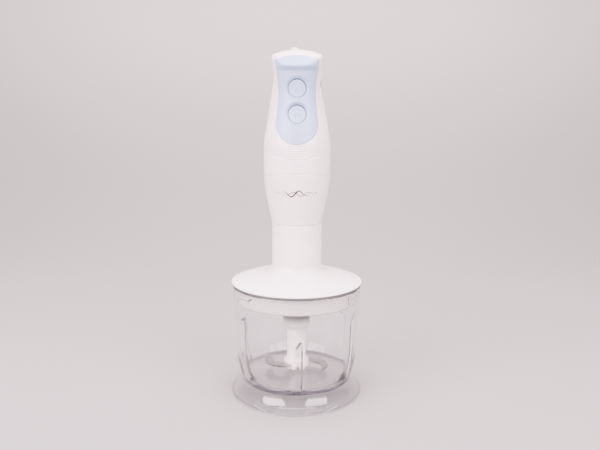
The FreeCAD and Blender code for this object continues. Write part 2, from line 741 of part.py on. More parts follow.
# ---------------------------------------------------------------- motor handle: covers
def make_lower_housing(skin, inside):
    """The casing round the motor, below the sloping seam, with the spigot that locks into the neck."""
    floor = handle_foot + 2.4
    cavity = inside.cut(box(-90, 90, -90, 90, spigot_end - 20, floor))
    shell = skin.cut(seam_side_of(-seam_gap, True)).cut(cavity)
    spigot = spun(
        (6.0, spigot_end), (spigot_radius, spigot_end), (spigot_radius, neck_top - 4.8),
        (neck_bore - 0.75, neck_top - 4.0), (neck_bore - 0.75, handle_foot + 0.2),
        (spigot_radius - spigot_wall, handle_foot + 0.2), (spigot_radius - spigot_wall, spigot_end + 2.2),
        (6.0, spigot_end + 2.2))
    shell = shell.cut(cylinder(spigot_radius - spigot_wall, handle_foot - 1, floor + 1))
    bayonet_lugs = lugs(spigot_radius, neck_bore - 0.75, neck_top - spigot_lug_drop, (30, 150, 270))
    seat = tube(spigot_radius - spigot_wall + 1, 12.2, handle_foot, handle_foot + 2.4)
    save("lower_housing", fuse_all([shell, spigot, seat] + bayonet_lugs))
    save("spigot_ring", tube(neck_bore + 0.9, neck_bore - 0.55, neck_top - 3.9, neck_top - 0.4))


def panel_prism(grow):
    """The panel's outline, seen from the front, as a long block through the handle's front half."""
    top = crown - panel_top_drop + grow
    corner = crown - panel_corner_drop + grow
    belly = crown - panel_belly_drop
    wide = panel_top_half_width + grow
    slim = panel_waist_half_width + grow
    low = panel_belly_half_width + grow
    wire = outline(
        (-wide, corner), ((0, top), (wide, corner)), ((slim, upper_button), (low, belly)),
        ((0, belly - low), (-low, belly)), ((-slim, upper_button), (-wide, corner)))
    block = Part.Face(wire).extrude(V(0, -80, 0))
    block.translate(V(0, -2, 0))
    return block


def button_bar(radius, level, y_front=-80.0, y_back=-2.0):
    return rod(radius, V(0, y_front, level), V(0, y_back, level))


def vent_grooves():
    """Shallow level grooves under the panel. The lowest one runs on at both ends and turns up."""
    top = crown - panel_belly_drop - panel_belly_half_width - 2.2
    cutters = []
    for k in range(vent_count):
        z = top - k * vent_pitch
        cutters.append(box(-vent_half_width, vent_half_width, -60, -2, z - vent_height / 2, z + vent_height / 2))
    last = top - (vent_count - 1) * vent_pitch
    h = vent_height / 2
    smile = outline((-26, last + 6 - h), ((0, last - h), (26, last + 6 - h)), (26, last + 6 + h),
                    ((0, last + h), (-26, last + 6 + h)))
    arc = Part.Face(smile).extrude(V(0, -60, 0))
    return cutters, arc


def make_covers(skin, inside):
    """Front and rear housings above the seam, the soft grip panel, and the screws that hold them."""
    recess = handle_body(-panel_depth - 0.1)
    over = skin.cut(recess)
    lip_outer = handle_body(-shell_wall - panel_gap, seam_side - 30)
    lip_inner = handle_body(-shell_wall - panel_gap - seam_lip_wall, seam_side - 31)
    band = seam_side_of(-seam_lip_depth, True).common(seam_side_of(1.0, False))
    shell = skin.common(seam_side_of(0, True)).fuse(lip_outer.common(band))
    shell = shell.cut(inside.common(seam_side_of(3.0, True))).cut(lip_inner)

    front_half = box(-90, 90, -90, -seam_gap / 2, spigot_end, crown + 20)
    rear_half = box(-90, 90, seam_gap / 2, 90, spigot_end, crown + 20)
    front = shell.common(front_half)
    rear = shell.common(rear_half)

    # Posts for the board and for the housing screws grow from the front cover's inside.
    solid_front = handle_body(-panel_depth - 0.4)
    posts = []
    for level in (upper_post, lower_post):
        posts.append(rod(2.6, V(0, -60, level), V(0, board_front, level)).common(solid_front))
    for x in (-housing_screw_x, housing_screw_x):
        posts.append(rod(3.2, V(x, -60, housing_screw_level),
                         V(x, -seam_gap / 2, housing_screw_level)).common(solid_front))
    front = fuse_all([front] + posts)
    front = front.cut(panel_prism(panel_gap).common(over))
    for level in (upper_button, lower_button):
        front = front.cut(button_bar(button_radius + slide_gap + 0.1, level))
    pilots = [rod(1.0, V(0, -16, z), V(0, 0, z)) for z in (upper_post, lower_post)]
    pilots += [rod(1.2, V(x, -12, housing_screw_level), V(x, 5, housing_screw_level))
               for x in (-housing_screw_x, housing_screw_x)]
    for hole in pilots:
        front = front.cut(hole)
    groove_floor = handle_body(-vent_depth)
    grooves, arc = vent_grooves()
    groove_skin = skin.cut(groove_floor)
    shallow = skin.cut(handle_body(-vent_depth * 0.6))
    front = front.cut(fuse_all(grooves).common(groove_skin)).cut(arc.common(shallow))
    save("front_housing", front)

    bosses = [rod(3.6, V(x, seam_gap / 2, housing_screw_level), V(x, 60, housing_screw_level)).common(skin)
              for x in (-housing_screw_x, housing_screw_x)]
    rear = fuse_all([rear] + bosses)
    head_seat = 9.0
    screws = []
    for x in (-housing_screw_x, housing_screw_x):
        rear = rear.cut(rod(2.7, V(x, head_seat, housing_screw_level), V(x, 60, housing_screw_level)))
        rear = rear.cut(rod(1.6, V(x, -2, housing_screw_level), V(x, head_seat + 1, housing_screw_level)))
        screws.append(screw(1.2, 2.4, 1.8, V(x, head_seat, housing_screw_level),
                            V(x, -10, housing_screw_level)))
    inlet_axis, inlet_point = inlet_place()
    rear = rear.cut(rod(inlet_bush_radius, inlet_point - inlet_axis * 12, inlet_point + inlet_axis * 12))
    flange_room = rod(inlet_bush_radius + inlet_flange + slide_gap,
                      inlet_point - inlet_axis * (inlet_bush_in + 3), inlet_point - inlet_axis * 2.6)
    save("rear_housing", rear.cut(flange_room))
    save("housing_screws", Part.makeCompound(screws))

    panel = handle_body(panel_proud, edge=1.2).cut(handle_body(-panel_depth)).common(panel_prism(0))
    dish_floor = handle_body(panel_proud - button_dish)
    dish = handle_body(panel_proud + 1).cut(dish_floor)
    for level in (upper_button, lower_button):
        panel = panel.cut(button_bar(button_radius + button_dish_ring, level).common(dish))
        panel = panel.cut(button_bar(button_radius + slide_gap, level))
    save("grip_panel", panel)


def inlet_place():
    """Axis and wall point of the cord's inlet, high on the back of the crown."""
    a = math.radians(inlet_tilt)
    drop = crown_radius - math.sqrt(crown_radius ** 2 - inlet_back ** 2 - inlet_offset ** 2)
    return V(0, math.sin(a), math.cos(a)), V(inlet_offset, inlet_back, crown - drop - shell_wall / 2)


def make_inlet():
    axis, point = inlet_place()
    r = inlet_bush_radius
    out = inlet_bush_out
    bush = spun(
        (inlet_bore, -inlet_bush_in), (r + inlet_flange, -inlet_bush_in),
        (r + inlet_flange, -inlet_bush_in + inlet_flange_height), (r, -inlet_bush_in + inlet_flange_height),
        (r, out - 2.8), ((r - 0.45, out - 0.9), (r - 1.3, out)), (inlet_bore, out))
    bush.Placement = FreeCAD.Placement(point, FreeCAD.Rotation(UP, axis))
    save("cord_inlet_bush", bush)


# ---------------------------------------------------------------- motor handle: buttons and switch board
def make_buttons():
    face = handle_body(panel_proud - button_below)
    flange_front = board_front - switch_depth - plunger_length - button_travel - 2.0
    for name, level, dots in (("speed", upper_button, (0.0,)), ("turbo", lower_button, (-2.2, 2.2))):
        cap = button_bar(button_radius, level, y_back=flange_front).common(face)
        marks = []
        for x in dots:
            bump = handle_body(panel_proud - button_below + button_dot_height)
            marks.append(rod(button_dot_radius, V(x, -80, level), V(x, flange_front, level)).common(bump))
        flange = rod(button_radius + button_flange, V(0, flange_front, level),
                     V(0, flange_front + button_flange_height, level))
        stem = rod(button_stem_radius, V(0, flange_front, level),
                   V(0, switch_front - plunger_length, level))
        save(f"{name}_button", fuse_all([cap, flange, stem] + marks))
        save(f"{name}_plunger", rod(plunger_radius, V(0, switch_front - plunger_length, level),
                                    V(0, switch_front + 1.0, level)))


def make_board():
    back = board_front + board_thickness
    board = box(-board_half_width, board_half_width, board_front, back, board_low, board_top)
    screws = []
    for z in (upper_post, lower_post):
        board = board.cut(rod(1.3, V(0, board_front - 1, z), V(0, back + 1, z)))
        screws.append(screw(1.0, 2.0, 1.4, V(0, back, z), V(0, board_front - 7, z)))
    save("circuit_board", board)
    save("board_screws", Part.makeCompound(screws))
    switches = []
    for z in (upper_button, lower_button):
        body = box(-switch_half_length, switch_half_length, switch_front, board_front,
                   z - switch_half_height, z + switch_half_height)
        switches.append(body.cut(rod(plunger_radius + run_gap * 2, V(0, switch_front - 1, z),
                                     V(0, switch_front + 1.0 + button_travel + 0.3, z))))
    save("micro_switches", Part.makeCompound(switches))
    middle = (upper_button + lower_button) / 2
    capacitor = box(-8.5, 8.5, back, back + 7.0, lower_button - 7.0, middle - 1.5)
    save("suppression_capacitor", capacitor.makeFillet(0.8, capacitor.Edges))
    diode_y = back + 2.4
    diode = rod(2.2, V(-4.5, diode_y, middle + 4), V(4.5, diode_y, middle + 4))
    lead = rod(0.45, V(-7, diode_y, middle + 4), V(7, diode_y, middle + 4))
    legs = [rod(0.4, V(x, back, middle + 4), V(x, diode_y, middle + 4)) for x in (-6.4, 6.4)]
    save("speed_diode", fuse_all([diode, lead] + legs))


# ---------------------------------------------------------------- motor
def make_stator():
    core = cylinder(stator_radius, stator_low, stator_top)
    core = core.cut(cylinder(stator_bore, stator_low - 1, stator_top + 1))
    for side in (90, 270):
        core = core.cut(sector(stator_bore - 1, stator_bore + coil_reach + 0.4, stator_low - 1, stator_top + 1,
                               side - slot_half_angle, side + slot_half_angle))
    for y in (-tie_radius, tie_radius):
        core = core.cut(cylinder(tie_screw_radius + 0.1, stator_low - 1, stator_top + 1, 0, y))
    for side in (-1, 1):
        flat = stator_radius - 1.4
        core = core.cut(box(min(side * flat, side * 40), max(side * flat, side * 40), -40, 40,
                            stator_low - 1, stator_top + 1))
    save("stator_core", core)

    inner = stator_bore + 0.5
    outer = stator_bore + coil_reach
    coils = []
    for middle in (0, 180):
        whole = sector(inner, outer, stator_low - coil_overhang, stator_top + coil_overhang,
                       middle - 87, middle + 87)
        pole = sector(inner - 1, outer + 1, stator_low - 0.3, stator_top + 0.3,
                      middle - 90 + slot_half_angle - 1, middle + 90 - slot_half_angle + 1)
        coils.append(whole.cut(pole))
    save("field_coils", Part.makeCompound(coils))


def make_brackets():
    low_plate = bottom_bearing_low + bracket_rise
    lower = cylinder(tie_radius - 0.4, low_plate, low_plate + bracket_plate)
    lower = lower.fuse(cylinder(bearing_radius + 2.2, bottom_bearing_low, bottom_bearing_top))
    for x in (-12, 12):
        lower = lower.cut(box(x - 3, x + 3, -8, 8, low_plate - 1, low_plate + bracket_plate + 1))
    ties = (-tie_radius, tie_radius)
    posts = [cylinder(tie_post_radius, low_plate, stator_low, 0, y) for y in ties]
    lower = fuse_all([lower] + posts)
    lower = lower.cut(cylinder(bearing_radius, bottom_bearing_low - 1, bottom_bearing_top + 1))

    plate_low = stator_top + coil_overhang + 3.0
    plate_high = plate_low + bracket_plate
    upper = tube(tie_radius + 2.9, 12.0, plate_low, plate_high)
    posts = [cylinder(tie_post_radius, stator_top, plate_low + 1, 0, y) for y in ties]
    pillars = [box(-5, 5, min(s * 12.5, s * 17), max(s * 12.5, s * 17), plate_high - 1, top_bearing_top)
               for s in (-1, 1)]
    bridge = box(-7.5, 7.5, -17, 17, top_bearing_low, top_bearing_top)
    upper = fuse_all([upper, bridge] + posts + pillars)
    upper = upper.cut(cylinder(bearing_radius, top_bearing_low - 1, top_bearing_top + 1))
    for y in ties:
        lower = lower.cut(cylinder(tie_screw_radius, low_plate + 0.8, stator_low + 1, 0, y))
        upper = upper.cut(cylinder(tie_screw_radius + 0.1, stator_top - 1, plate_high + 1, 0, y))
    save("lower_bracket", lower)
    save("upper_bracket", upper)
    screws = [screw(tie_screw_radius, 2.4, 2.0, V(0, y, plate_high), V(0, y, low_plate + 1.0)) for y in ties]
    save("motor_screws", Part.makeCompound(screws))

    save("lower_bearing", tube(bearing_radius, drive_shaft_radius + run_gap, bottom_bearing_low,
                               bottom_bearing_top))
    save("upper_bearing", tube(bearing_radius, drive_shaft_radius + run_gap, top_bearing_low,
                               top_bearing_top))

    holders = []
    brushes = []
    springs = []
    for side in (-1, 1):
        near = commutator_radius + 1.6
        far = near + 12.0
        holder = box(near, far, -brush_width / 2 - 1.6, brush_width / 2 + 1.6, plate_high,
                     brush_middle + brush_height / 2 + 1.6)
        holder = holder.cut(box(near - 1, far - 1.6, -brush_width / 2 - 0.1, brush_width / 2 + 0.1,
                                brush_middle - brush_height / 2 - 0.1, brush_middle + brush_height / 2 + 0.1))
        brush = box(commutator_radius - 1, far - 5.5, -brush_width / 2, brush_width / 2,
                    brush_middle - brush_height / 2, brush_middle + brush_height / 2)
        brush = brush.cut(cylinder(commutator_radius + run_gap, commutator_low, commutator_low + 30))
        coil = brush_spring(far - 5.5 + 0.25, far - 1.6 - 0.25)
        for group, piece in ((holders, holder), (brushes, brush), (springs, coil)):
            group.append(piece if side > 0 else turned(piece, 180))
    save("brush_holders", Part.makeCompound(holders))
    save("carbon_brushes", Part.makeCompound(brushes))
    save("brush_springs", Part.makeCompound(springs))

    damper_low = stator_low + 0.8
    inner_wall = reach(damper_low)[0] - shell_wall
    save("motor_damper", tube(inner_wall - 0.15, stator_radius + TINY, damper_low, damper_low + 3.0))
    save("bearing_damper", tube(12.0, bearing_radius + 2.2 + TINY, handle_foot + 0.4, low_plate - TINY))


def brush_spring(x0, x1):
    """A close-wound spring along X, behind a brush, as a ribbed sleeve."""
    turns = 6
    pitch = (x1 - x0) / turns
    ribs = []
    for k in range(turns):
        ribs += [(1.6, k * pitch), (1.9, (k + 0.5) * pitch)]
    coil = spun((1.1, 0), *ribs, (1.6, x1 - x0), (1.1, x1 - x0))
    coil.Placement = FreeCAD.Placement(V(x0, 0, brush_middle), FreeCAD.Rotation(UP, V(1, 0, 0)))
    return coil


def make_rotor():
    save("motor_shaft", cylinder(drive_shaft_radius, cup_floor + 2.0, shaft_top))
    core = cylinder(armature_radius, stator_low, stator_top)
    slots = []
    for k in range(armature_slots):
        angle = 360.0 * k / armature_slots
        slots.append(turned(box(8.6, armature_radius - 1.0, -1.5, 1.5, stator_low - 1, stator_top + 1), angle))
        slots.append(turned(box(12.0, armature_radius + 1, -0.7, 0.7, stator_low - 1, stator_top + 1), angle))
    core = core.cut(slots[0].multiFuse(slots[1:]))
    core = core.cut(cylinder(drive_shaft_radius, stator_low - 1, stator_top + 1))
    save("armature_core", core)

    ends = []
    for low, high in ((stator_low - 5.0, stator_low), (stator_top, stator_top + 6.0)):
        knot = tube(12.6, drive_shaft_radius, low, high)
        rim = [e for e in knot.Edges if abs(e.Length - 2 * math.pi * 12.6) < 0.5]
        ends.append(knot.makeFillet(1.8, rim))
    bars = [turned(box(8.8, armature_radius - 1.2, -1.3, 1.3, stator_low - 1, stator_top + 1),
                   360.0 * k / armature_slots) for k in range(armature_slots)]
    save("armature_windings", fuse_all(ends + bars))

    commutator = tube(commutator_radius, drive_shaft_radius, commutator_low - 2, commutator_low + commutator_length)
    hook_ring = tube(commutator_radius + 0.9, commutator_radius - 1, commutator_low - 2, commutator_low - 0.4)
    bars = 2 * armature_slots
    cuts = [turned(box(commutator_radius - 0.8, commutator_radius + 2, -0.2, 0.2, commutator_low - 3,
                       commutator_low + commutator_length + 1), 360.0 * k / bars) for k in range(bars)]
    commutator = commutator.fuse(hook_ring).cut(cuts[0].multiFuse(cuts[1:]))
    save("commutator", commutator)

    hub = tube(5.0, drive_shaft_radius, fan_low, fan_top)
    back_plate = tube(fan_radius, 4.0, fan_top - 1.2, fan_top)
    vanes = []
    for k in range(fan_blades):
        vane = box(6.0, fan_radius, -0.55, 0.55, fan_low + 0.4, fan_top - 1.0)
        vane.rotate(V(6, 0, 0), UP, 24)
        vane = vane.common(cylinder(fan_radius, fan_low, fan_top))
        vanes.append(turned(vane, 360.0 * k / fan_blades))
    save("cooling_fan", fuse_all([hub, back_plate] + vanes))

    dog_low = cup_floor + 1.0
    dog = cylinder(dog_radius, dog_low, spigot_end + 5.0)
    wings = [sector(dog_radius - bury, dog_radius + dog_reach, dog_low, cup_floor + cup_depth - 0.5,
                    a - dog_half_angle, a + dog_half_angle) for a in (0, 180)]
    dog = fuse_all([dog] + wings).cut(cylinder(drive_shaft_radius, cup_floor + 2.0, spigot_end + 6.0))
    save("motor_coupling", dog)


def lead_wire(points):
    """A lead with a bend at each middle point: straight runs joined by tangent arcs."""
    edges = []
    here = points[0]
    for before, corner, after in zip(points, points[1:], points[2:]):
        a = (before - corner).normalize()
        b = (after - corner).normalize()
        trim = 0.45 * min((before - corner).Length, (after - corner).Length)
        start = corner + a * trim
        end = corner + b * trim
        half = math.acos(max(-1.0, min(1.0, a.dot(b)))) / 2
        bisector = (a + b).normalize()
        centre_distance = trim / math.cos(half)
        radius = trim * math.tan(half)
        middle = corner + bisector * (centre_distance - radius)
        edges.append(Part.makeLine(here, start))
        edges.append(Part.Arc(start, middle, end).toShape())
        here = end
    edges.append(Part.makeLine(here, points[-1]))
    path = Part.Wire(edges)
    ring = Part.Wire(Part.makeCircle(wire_radius, points[0], (points[1] - points[0]).normalize()))
    return path.makePipeShell([ring], True, False)


def make_leads():
    """Two leads from the board's lower end down to the brush holders."""
    back = board_front + board_thickness
    holder_top = brush_middle + brush_height / 2 + 1.6
    leads = []
    for side in (-1, 1):
        start = V(side * 9.3, back + wire_radius + 0.2, board_low + 4)
        leads.append(lead_wire([
            start, V(side * 9.3, back + wire_radius + 0.2, board_low - 3),
            V(side * 19.0, 0, board_low - 5), V(side * 19.0, 0, holder_top + TINY)]))
    save("lead_wires", Part.makeCompound(leads))


def main():
    os.makedirs("parts", exist_ok=True)
    make_bowl()
    make_blade()
    make_lid()
    make_gears()
    skin = handle_body(0.0, edge=crown_edge)
    inside = handle_body(-shell_wall, handle_foot + 0.1)
    make_lower_housing(skin, inside)
    make_covers(skin, inside)
    make_inlet()
    make_buttons()
    make_board()
    make_stator()
    make_brackets()
    make_rotor()
    make_leads()


main()
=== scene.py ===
# %% [markdown]
# # A hand blender standing on its chopper bowl
#
# The object has three big units. A clear bowl stands on a flared foot. A white lid with a tall neck is locked
# onto it, and a motor handle with a pale blue grip is locked into the neck. This file loads the fixed frame, a
# set of exact solids made elsewhere, then dresses it. The pieces that the eye rests on are modelled again with
# softer edges, and every other piece gets a finish of its own.

# %% Load the frame
import json
import math

import bpy
import numpy as np
from mathutils import Matrix, Vector
from mathutils.geometry import delaunay_2d_cdt

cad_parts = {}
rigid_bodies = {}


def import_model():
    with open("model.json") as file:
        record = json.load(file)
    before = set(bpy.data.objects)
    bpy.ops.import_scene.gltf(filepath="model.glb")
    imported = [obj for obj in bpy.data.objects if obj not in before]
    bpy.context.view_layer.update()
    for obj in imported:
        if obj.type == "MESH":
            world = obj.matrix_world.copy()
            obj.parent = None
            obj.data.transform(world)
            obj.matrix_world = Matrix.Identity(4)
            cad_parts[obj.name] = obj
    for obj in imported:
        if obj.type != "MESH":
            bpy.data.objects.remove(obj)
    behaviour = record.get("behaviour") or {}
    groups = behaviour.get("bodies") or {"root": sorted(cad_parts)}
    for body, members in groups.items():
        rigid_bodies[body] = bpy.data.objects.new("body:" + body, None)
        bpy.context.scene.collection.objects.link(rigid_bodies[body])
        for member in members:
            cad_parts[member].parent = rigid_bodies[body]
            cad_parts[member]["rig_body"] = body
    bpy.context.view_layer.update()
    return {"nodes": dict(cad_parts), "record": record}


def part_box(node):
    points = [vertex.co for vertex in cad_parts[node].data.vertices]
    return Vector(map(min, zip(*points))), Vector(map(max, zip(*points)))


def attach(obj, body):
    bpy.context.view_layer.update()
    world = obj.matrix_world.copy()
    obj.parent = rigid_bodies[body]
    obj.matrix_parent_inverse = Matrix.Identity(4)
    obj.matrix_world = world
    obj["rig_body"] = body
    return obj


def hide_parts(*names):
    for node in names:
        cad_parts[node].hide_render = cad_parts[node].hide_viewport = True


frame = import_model()
nodes = frame["nodes"]
MM = 0.001
print("nodes in the frame:", len(nodes))

# %% [markdown]
# ## Working by hand, in code
#
# An operator acts on everything that is selected, so nothing is left selected between two steps. Each finished
# piece keeps its object at the origin and has its place in its mesh, as the frame's own nodes do.


# %% Selection
def rest_selection():
    """Object mode with nothing selected, so that the next operator touches only what it is meant to."""
    if bpy.context.object and bpy.context.object.mode != "OBJECT":
        bpy.ops.object.mode_set(mode="OBJECT")
    bpy.ops.object.select_all(action="DESELECT")


def wake(piece):
    rest_selection()
    piece.select_set(True)
    bpy.context.view_layer.objects.active = piece


def box_mm(node):
    low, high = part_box(node)
    return np.array(low) / MM, np.array(high) / MM


def whole_mesh(piece, *steps):
    """Takes steps in edit mode, with every part of one piece's mesh selected."""
    wake(piece)
    bpy.ops.object.mode_set(mode="EDIT")
    bpy.ops.mesh.select_all(action="SELECT")
    for step in steps:
        step()
    bpy.ops.object.mode_set(mode="OBJECT")


def faces_out():
    bpy.ops.mesh.normals_make_consistent(inside=False)


def fill(node, **values):
    """Sets constants on a shader node's inputs. An underscore in a name stands for a space."""
    for key, value in values.items():
        node.inputs[key.replace("_", " ")].default_value = value
    return node


# %% [markdown]
# ## Camera, sweep and lamps
#
# The object stands on a pale sweep and is seen from a little above its middle, through a lens that is slightly
# wider than a normal one. The camera dips by a few degrees and is turned by a quarter of a degree.

# %% Camera
camera_place = (0.0031, -0.590, 0.2696)
camera_dip = 9.8
camera_roll = 0.25
bpy.ops.object.camera_add(location=camera_place)
camera = bpy.context.object
camera.name = "product_camera"
camera.data.lens = 36.88
camera.data.clip_start = 0.01
tilt = Matrix.Rotation(math.radians(90 - camera_dip), 3, "X")
camera.rotation_euler = (tilt @ Matrix.Rotation(math.radians(camera_roll), 3, "Z")).to_euler()
bpy.context.scene.camera = camera

# %% [markdown]
# ### The sweep
#
# A sweep is one sheet of paper that lies flat under the object and curves up behind it, so that no edge shows.
# It starts as a flat plane. The far edge is extruded in short steps round a quarter circle, then straight up.

# %% Sweep
curve_radius = 1.5
curve_steps = 24
rest_selection()
bpy.ops.mesh.primitive_plane_add(size=1)
sweep = bpy.context.object
sweep.name = "sweep"
bpy.ops.object.mode_set(mode="EDIT")
bpy.ops.mesh.select_all(action="SELECT")
bpy.ops.transform.resize(value=(7.0, 4.0, 1.0), center_override=(0, 0, 0))
bpy.ops.transform.translate(value=(0, -1.5, 0))
bpy.ops.mesh.select_all(action="DESELECT")
bpy.ops.object.mode_set(mode="OBJECT")
for edge in sweep.data.edges:
    edge.select = all(sweep.data.vertices[v].co.y > 0.4 for v in edge.vertices)
bpy.ops.object.mode_set(mode="EDIT")
bpy.ops.mesh.select_mode(type="EDGE")
for k in range(curve_steps):
    a0 = math.radians(90 * k / curve_steps)
    a1 = math.radians(90 * (k + 1) / curve_steps)
    step = (0, curve_radius * (math.sin(a1) - math.sin(a0)), curve_radius * (math.cos(a0) - math.cos(a1)))
    bpy.ops.mesh.extrude_edges_move(TRANSFORM_OT_translate={"value": step})
bpy.ops.mesh.extrude_edges_move(TRANSFORM_OT_translate={"value": (0, 0, 2.0)})
bpy.ops.object.mode_set(mode="OBJECT")
bpy.ops.object.shade_smooth()

# %% [markdown]
# ### Lamps
#
# Two soft lamps stand left and right in front, and one hangs above. They are large, because long soft
# reflections are what makes white plastic read as round. A long one above and behind the object is turned to
# the sweep. The top one is kept out of mirror reflections, where it would draw a white streak across the foot.


# %% Lamps
def softbox(name, place, aim, size, power, colour=(1.0, 1.0, 1.0)):
    """A rectangular lamp at one point, turned to face another."""
    rest_selection()
    bpy.ops.object.light_add(type="AREA", location=place)
    lamp = bpy.context.object
    lamp.name = name
    lamp.data.shape = "RECTANGLE"
    lamp.data.size, lamp.data.size_y = size
    lamp.data.energy = power
    lamp.data.color = colour
    lamp.rotation_euler = (Vector(aim) - Vector(place)).to_track_quat("-Z", "Y").to_euler()
    return lamp


warm = (1.0, 0.86, 0.885)
softbox("left_softbox", (-0.78, -0.72, 0.66), (0, 0, 0.15), (0.85, 0.75), 62, warm)
softbox("right_softbox", (0.72, -0.78, 0.66), (0, 0, 0.15), (0.85, 0.75), 46, warm)
top_lamp = softbox("top_softbox", (0, 0.0, 1.45), (0, 0.05, 0), (1.0, 0.8), 100, warm)
top_lamp.visible_glossy = False
softbox("back_wash", (0, 0.45, 1.55), (0, 1.9, 0.85), (2.4, 0.5), 72, warm)

# %% [markdown]
# ### The room
#
# The rest of the studio is a dim room that is darker near the ground, so that clear and white pieces get dark
# edges, as in a real one. The background's strength follows the height of the direction looked in.

# %% Room
world = bpy.data.worlds.new("studio")
bpy.context.scene.world = world
world.use_nodes = True
room = world.node_tree
heading = room.nodes.new("ShaderNodeTexCoord")
split = room.nodes.new("ShaderNodeSeparateXYZ")
climb_map = fill(room.nodes.new("ShaderNodeMapRange"), From_Min=0.0, From_Max=1.0, To_Min=0.10, To_Max=0.55)
room.links.new(heading.outputs["Generated"], split.inputs["Vector"])
room.links.new(split.outputs["Z"], climb_map.inputs["Value"])
room.links.new(climb_map.outputs["Result"], room.nodes["Background"].inputs["Strength"])
fill(room.nodes["Background"], Color=(0.82, 0.75, 0.765, 1))

# %% [markdown]
# ## Finishes
#
# Every finish is one shader with a few procedural textures on the piece's own coordinates, in metres, so a
# texture scale of 1000 is about one millimetre. Moulded plastic is never quite even: its gloss drifts over
# centimetres, and its skin has a very fine orange peel. One helper lays down that base, and each finish adds
# what is special to it.


# %% Finish helpers
class Finish:
    """A material with its nodes within reach."""

    def __init__(self, name, colour, rough, metal=0.0, **fixed):
        self.material = bpy.data.materials.new(name)
        self.material.use_nodes = True
        self.tree = self.material.node_tree
        self.shader = self.tree.nodes["Principled BSDF"]
        self.colour = colour
        fill(self.shader, Base_Color=(*colour, 1), Roughness=rough, Metallic=metal, **fixed)
        self.place = self.node("ShaderNodeTexCoord").outputs["Object"]
        self.height = None

    def node(self, kind, **settings):
        made = self.tree.nodes.new(kind)
        for key, value in settings.items():
            setattr(made, key, value)
        return made

    def link(self, source, target):
        self.tree.links.new(source, target)

    def stretched(self, scale):
        mapping = fill(self.node("ShaderNodeMapping"), Scale=scale)
        self.link(self.place, mapping.inputs["Vector"])
        return mapping.outputs["Vector"]

    def noise(self, scale, detail=3.0, stretch=(1, 1, 1)):
        made = fill(self.node("ShaderNodeTexNoise"), Scale=scale, Detail=detail)
        self.link(self.stretched(stretch), made.inputs["Vector"])
        return made.outputs["Fac"]

    def spread(self, source, low, high):
        """The source, taken from about its middle third to the range low to high."""
        made = fill(self.node("ShaderNodeMapRange"), From_Min=0.32, From_Max=0.68, To_Min=low, To_Max=high)
        self.link(source, made.inputs["Value"])
        return made.outputs["Result"]

    def gloss(self, scale, low, high, stretch=(1, 1, 1), detail=3.0):
        self.link(self.spread(self.noise(scale, detail, stretch), low, high), self.shader.inputs["Roughness"])
        return self

    def tone(self, scale, other, stretch=(1, 1, 1), low=0.0, high=1.0, source=None):
        """Drifts between the finish's colour and another."""
        source = self.noise(scale, 3.0, stretch) if source is None else source
        mix = fill(self.node("ShaderNodeMix", data_type="RGBA"), A=(*self.colour, 1), B=(*other, 1))
        self.link(self.spread(source, low, high), mix.inputs["Factor"])
        self.link(mix.outputs["Result"], self.shader.inputs["Base Color"])
        return self

    def bump(self, source, depth_mm, strength=1.0):
        made = fill(self.node("ShaderNodeBump"), Strength=strength, Distance=depth_mm * MM)
        self.link(source, made.inputs["Height"])
        if self.height is not None:
            self.link(self.height, made.inputs["Normal"])
        self.height = made.outputs["Normal"]
        self.link(self.height, self.shader.inputs["Normal"])
        return self

    def lines(self, scale, direction="Z", distortion=0.0):
        made = self.node("ShaderNodeTexWave", wave_type="BANDS", bands_direction=direction)
        fill(made, Scale=scale, Distortion=distortion)
        self.link(self.place, made.inputs["Vector"])
        return made.outputs["Fac"]

    def along(self, axis, start, end):
        """From the low to the high value of spread, between two levels in metres on one axis."""
        split = self.node("ShaderNodeSeparateXYZ")
        self.link(self.place, split.inputs["Vector"])
        made = self.node("ShaderNodeMapRange", interpolation_type="SMOOTHSTEP")
        fill(made, From_Min=start, From_Max=end, To_Min=0.32, To_Max=0.68)
        self.link(split.outputs[axis], made.inputs["Value"])
        return made.outputs["Result"]

    def rings(self, scale, distortion=0.0):
        made = self.node("ShaderNodeTexWave", wave_type="RINGS", rings_direction="Z")
        fill(made, Scale=scale, Distortion=distortion)
        self.link(self.place, made.inputs["Vector"])
        return made.outputs["Fac"]


# %% [markdown]
# ### White and blue plastic
#
# The lid and the housings are one bright, slightly warm plastic with a polished tool finish. The grip panel
# and its buttons are a pale blue one with a finer, softer sheen. Both get a faint orange peel, far below what
# the eye picks out as texture but enough to stop the reflections from looking drawn with a ruler. The plate
# under the lid is a white painted darker, as painted shade for the lid's rim above its skirt. It turns dark
# within about a millimetre at the lower edge of its skirt.

# %% White and blue
white = Finish("moulded_white", (0.80, 0.70, 0.72), 0.27, Coat_Weight=0.12, Coat_Roughness=0.12)
white.tone(28, (0.78, 0.68, 0.70)).gloss(60, 0.23, 0.33)
white.bump(white.noise(1400, 2), 0.006).bump(white.noise(120, 2), 0.02)
inner_white = Finish("moulded_white_inner", (0.74, 0.69, 0.695), 0.36)
inner_white.tone(40, (0.71, 0.66, 0.66)).gloss(80, 0.3, 0.44).bump(inner_white.noise(900, 2), 0.01)
# painted shade: the skirt's white is darkened for the shadow under the lid's rim, and is near black at its
# lower edge
painted_shade_skirt = Finish("painted_shade_skirt_white", (0.15, 0.14, 0.14), 0.4)
painted_shade_skirt.tone(1, (0.50, 0.45, 0.46), source=painted_shade_skirt.along("Z", 0.0945, 0.0957)).gloss(80, 0.34, 0.48)
painted_shade_skirt.bump(painted_shade_skirt.noise(900, 2), 0.01)
blue = Finish("soft_blue", (0.315, 0.375, 0.61), 0.42)
blue.tone(36, (0.305, 0.36, 0.59)).gloss(90, 0.36, 0.46).bump(blue.noise(2600, 2), 0.008)
ink = Finish("printed_ink", (0.012, 0.012, 0.014), 0.4)
ink.gloss(500, 0.34, 0.5).bump(ink.noise(3000, 2), 0.004)
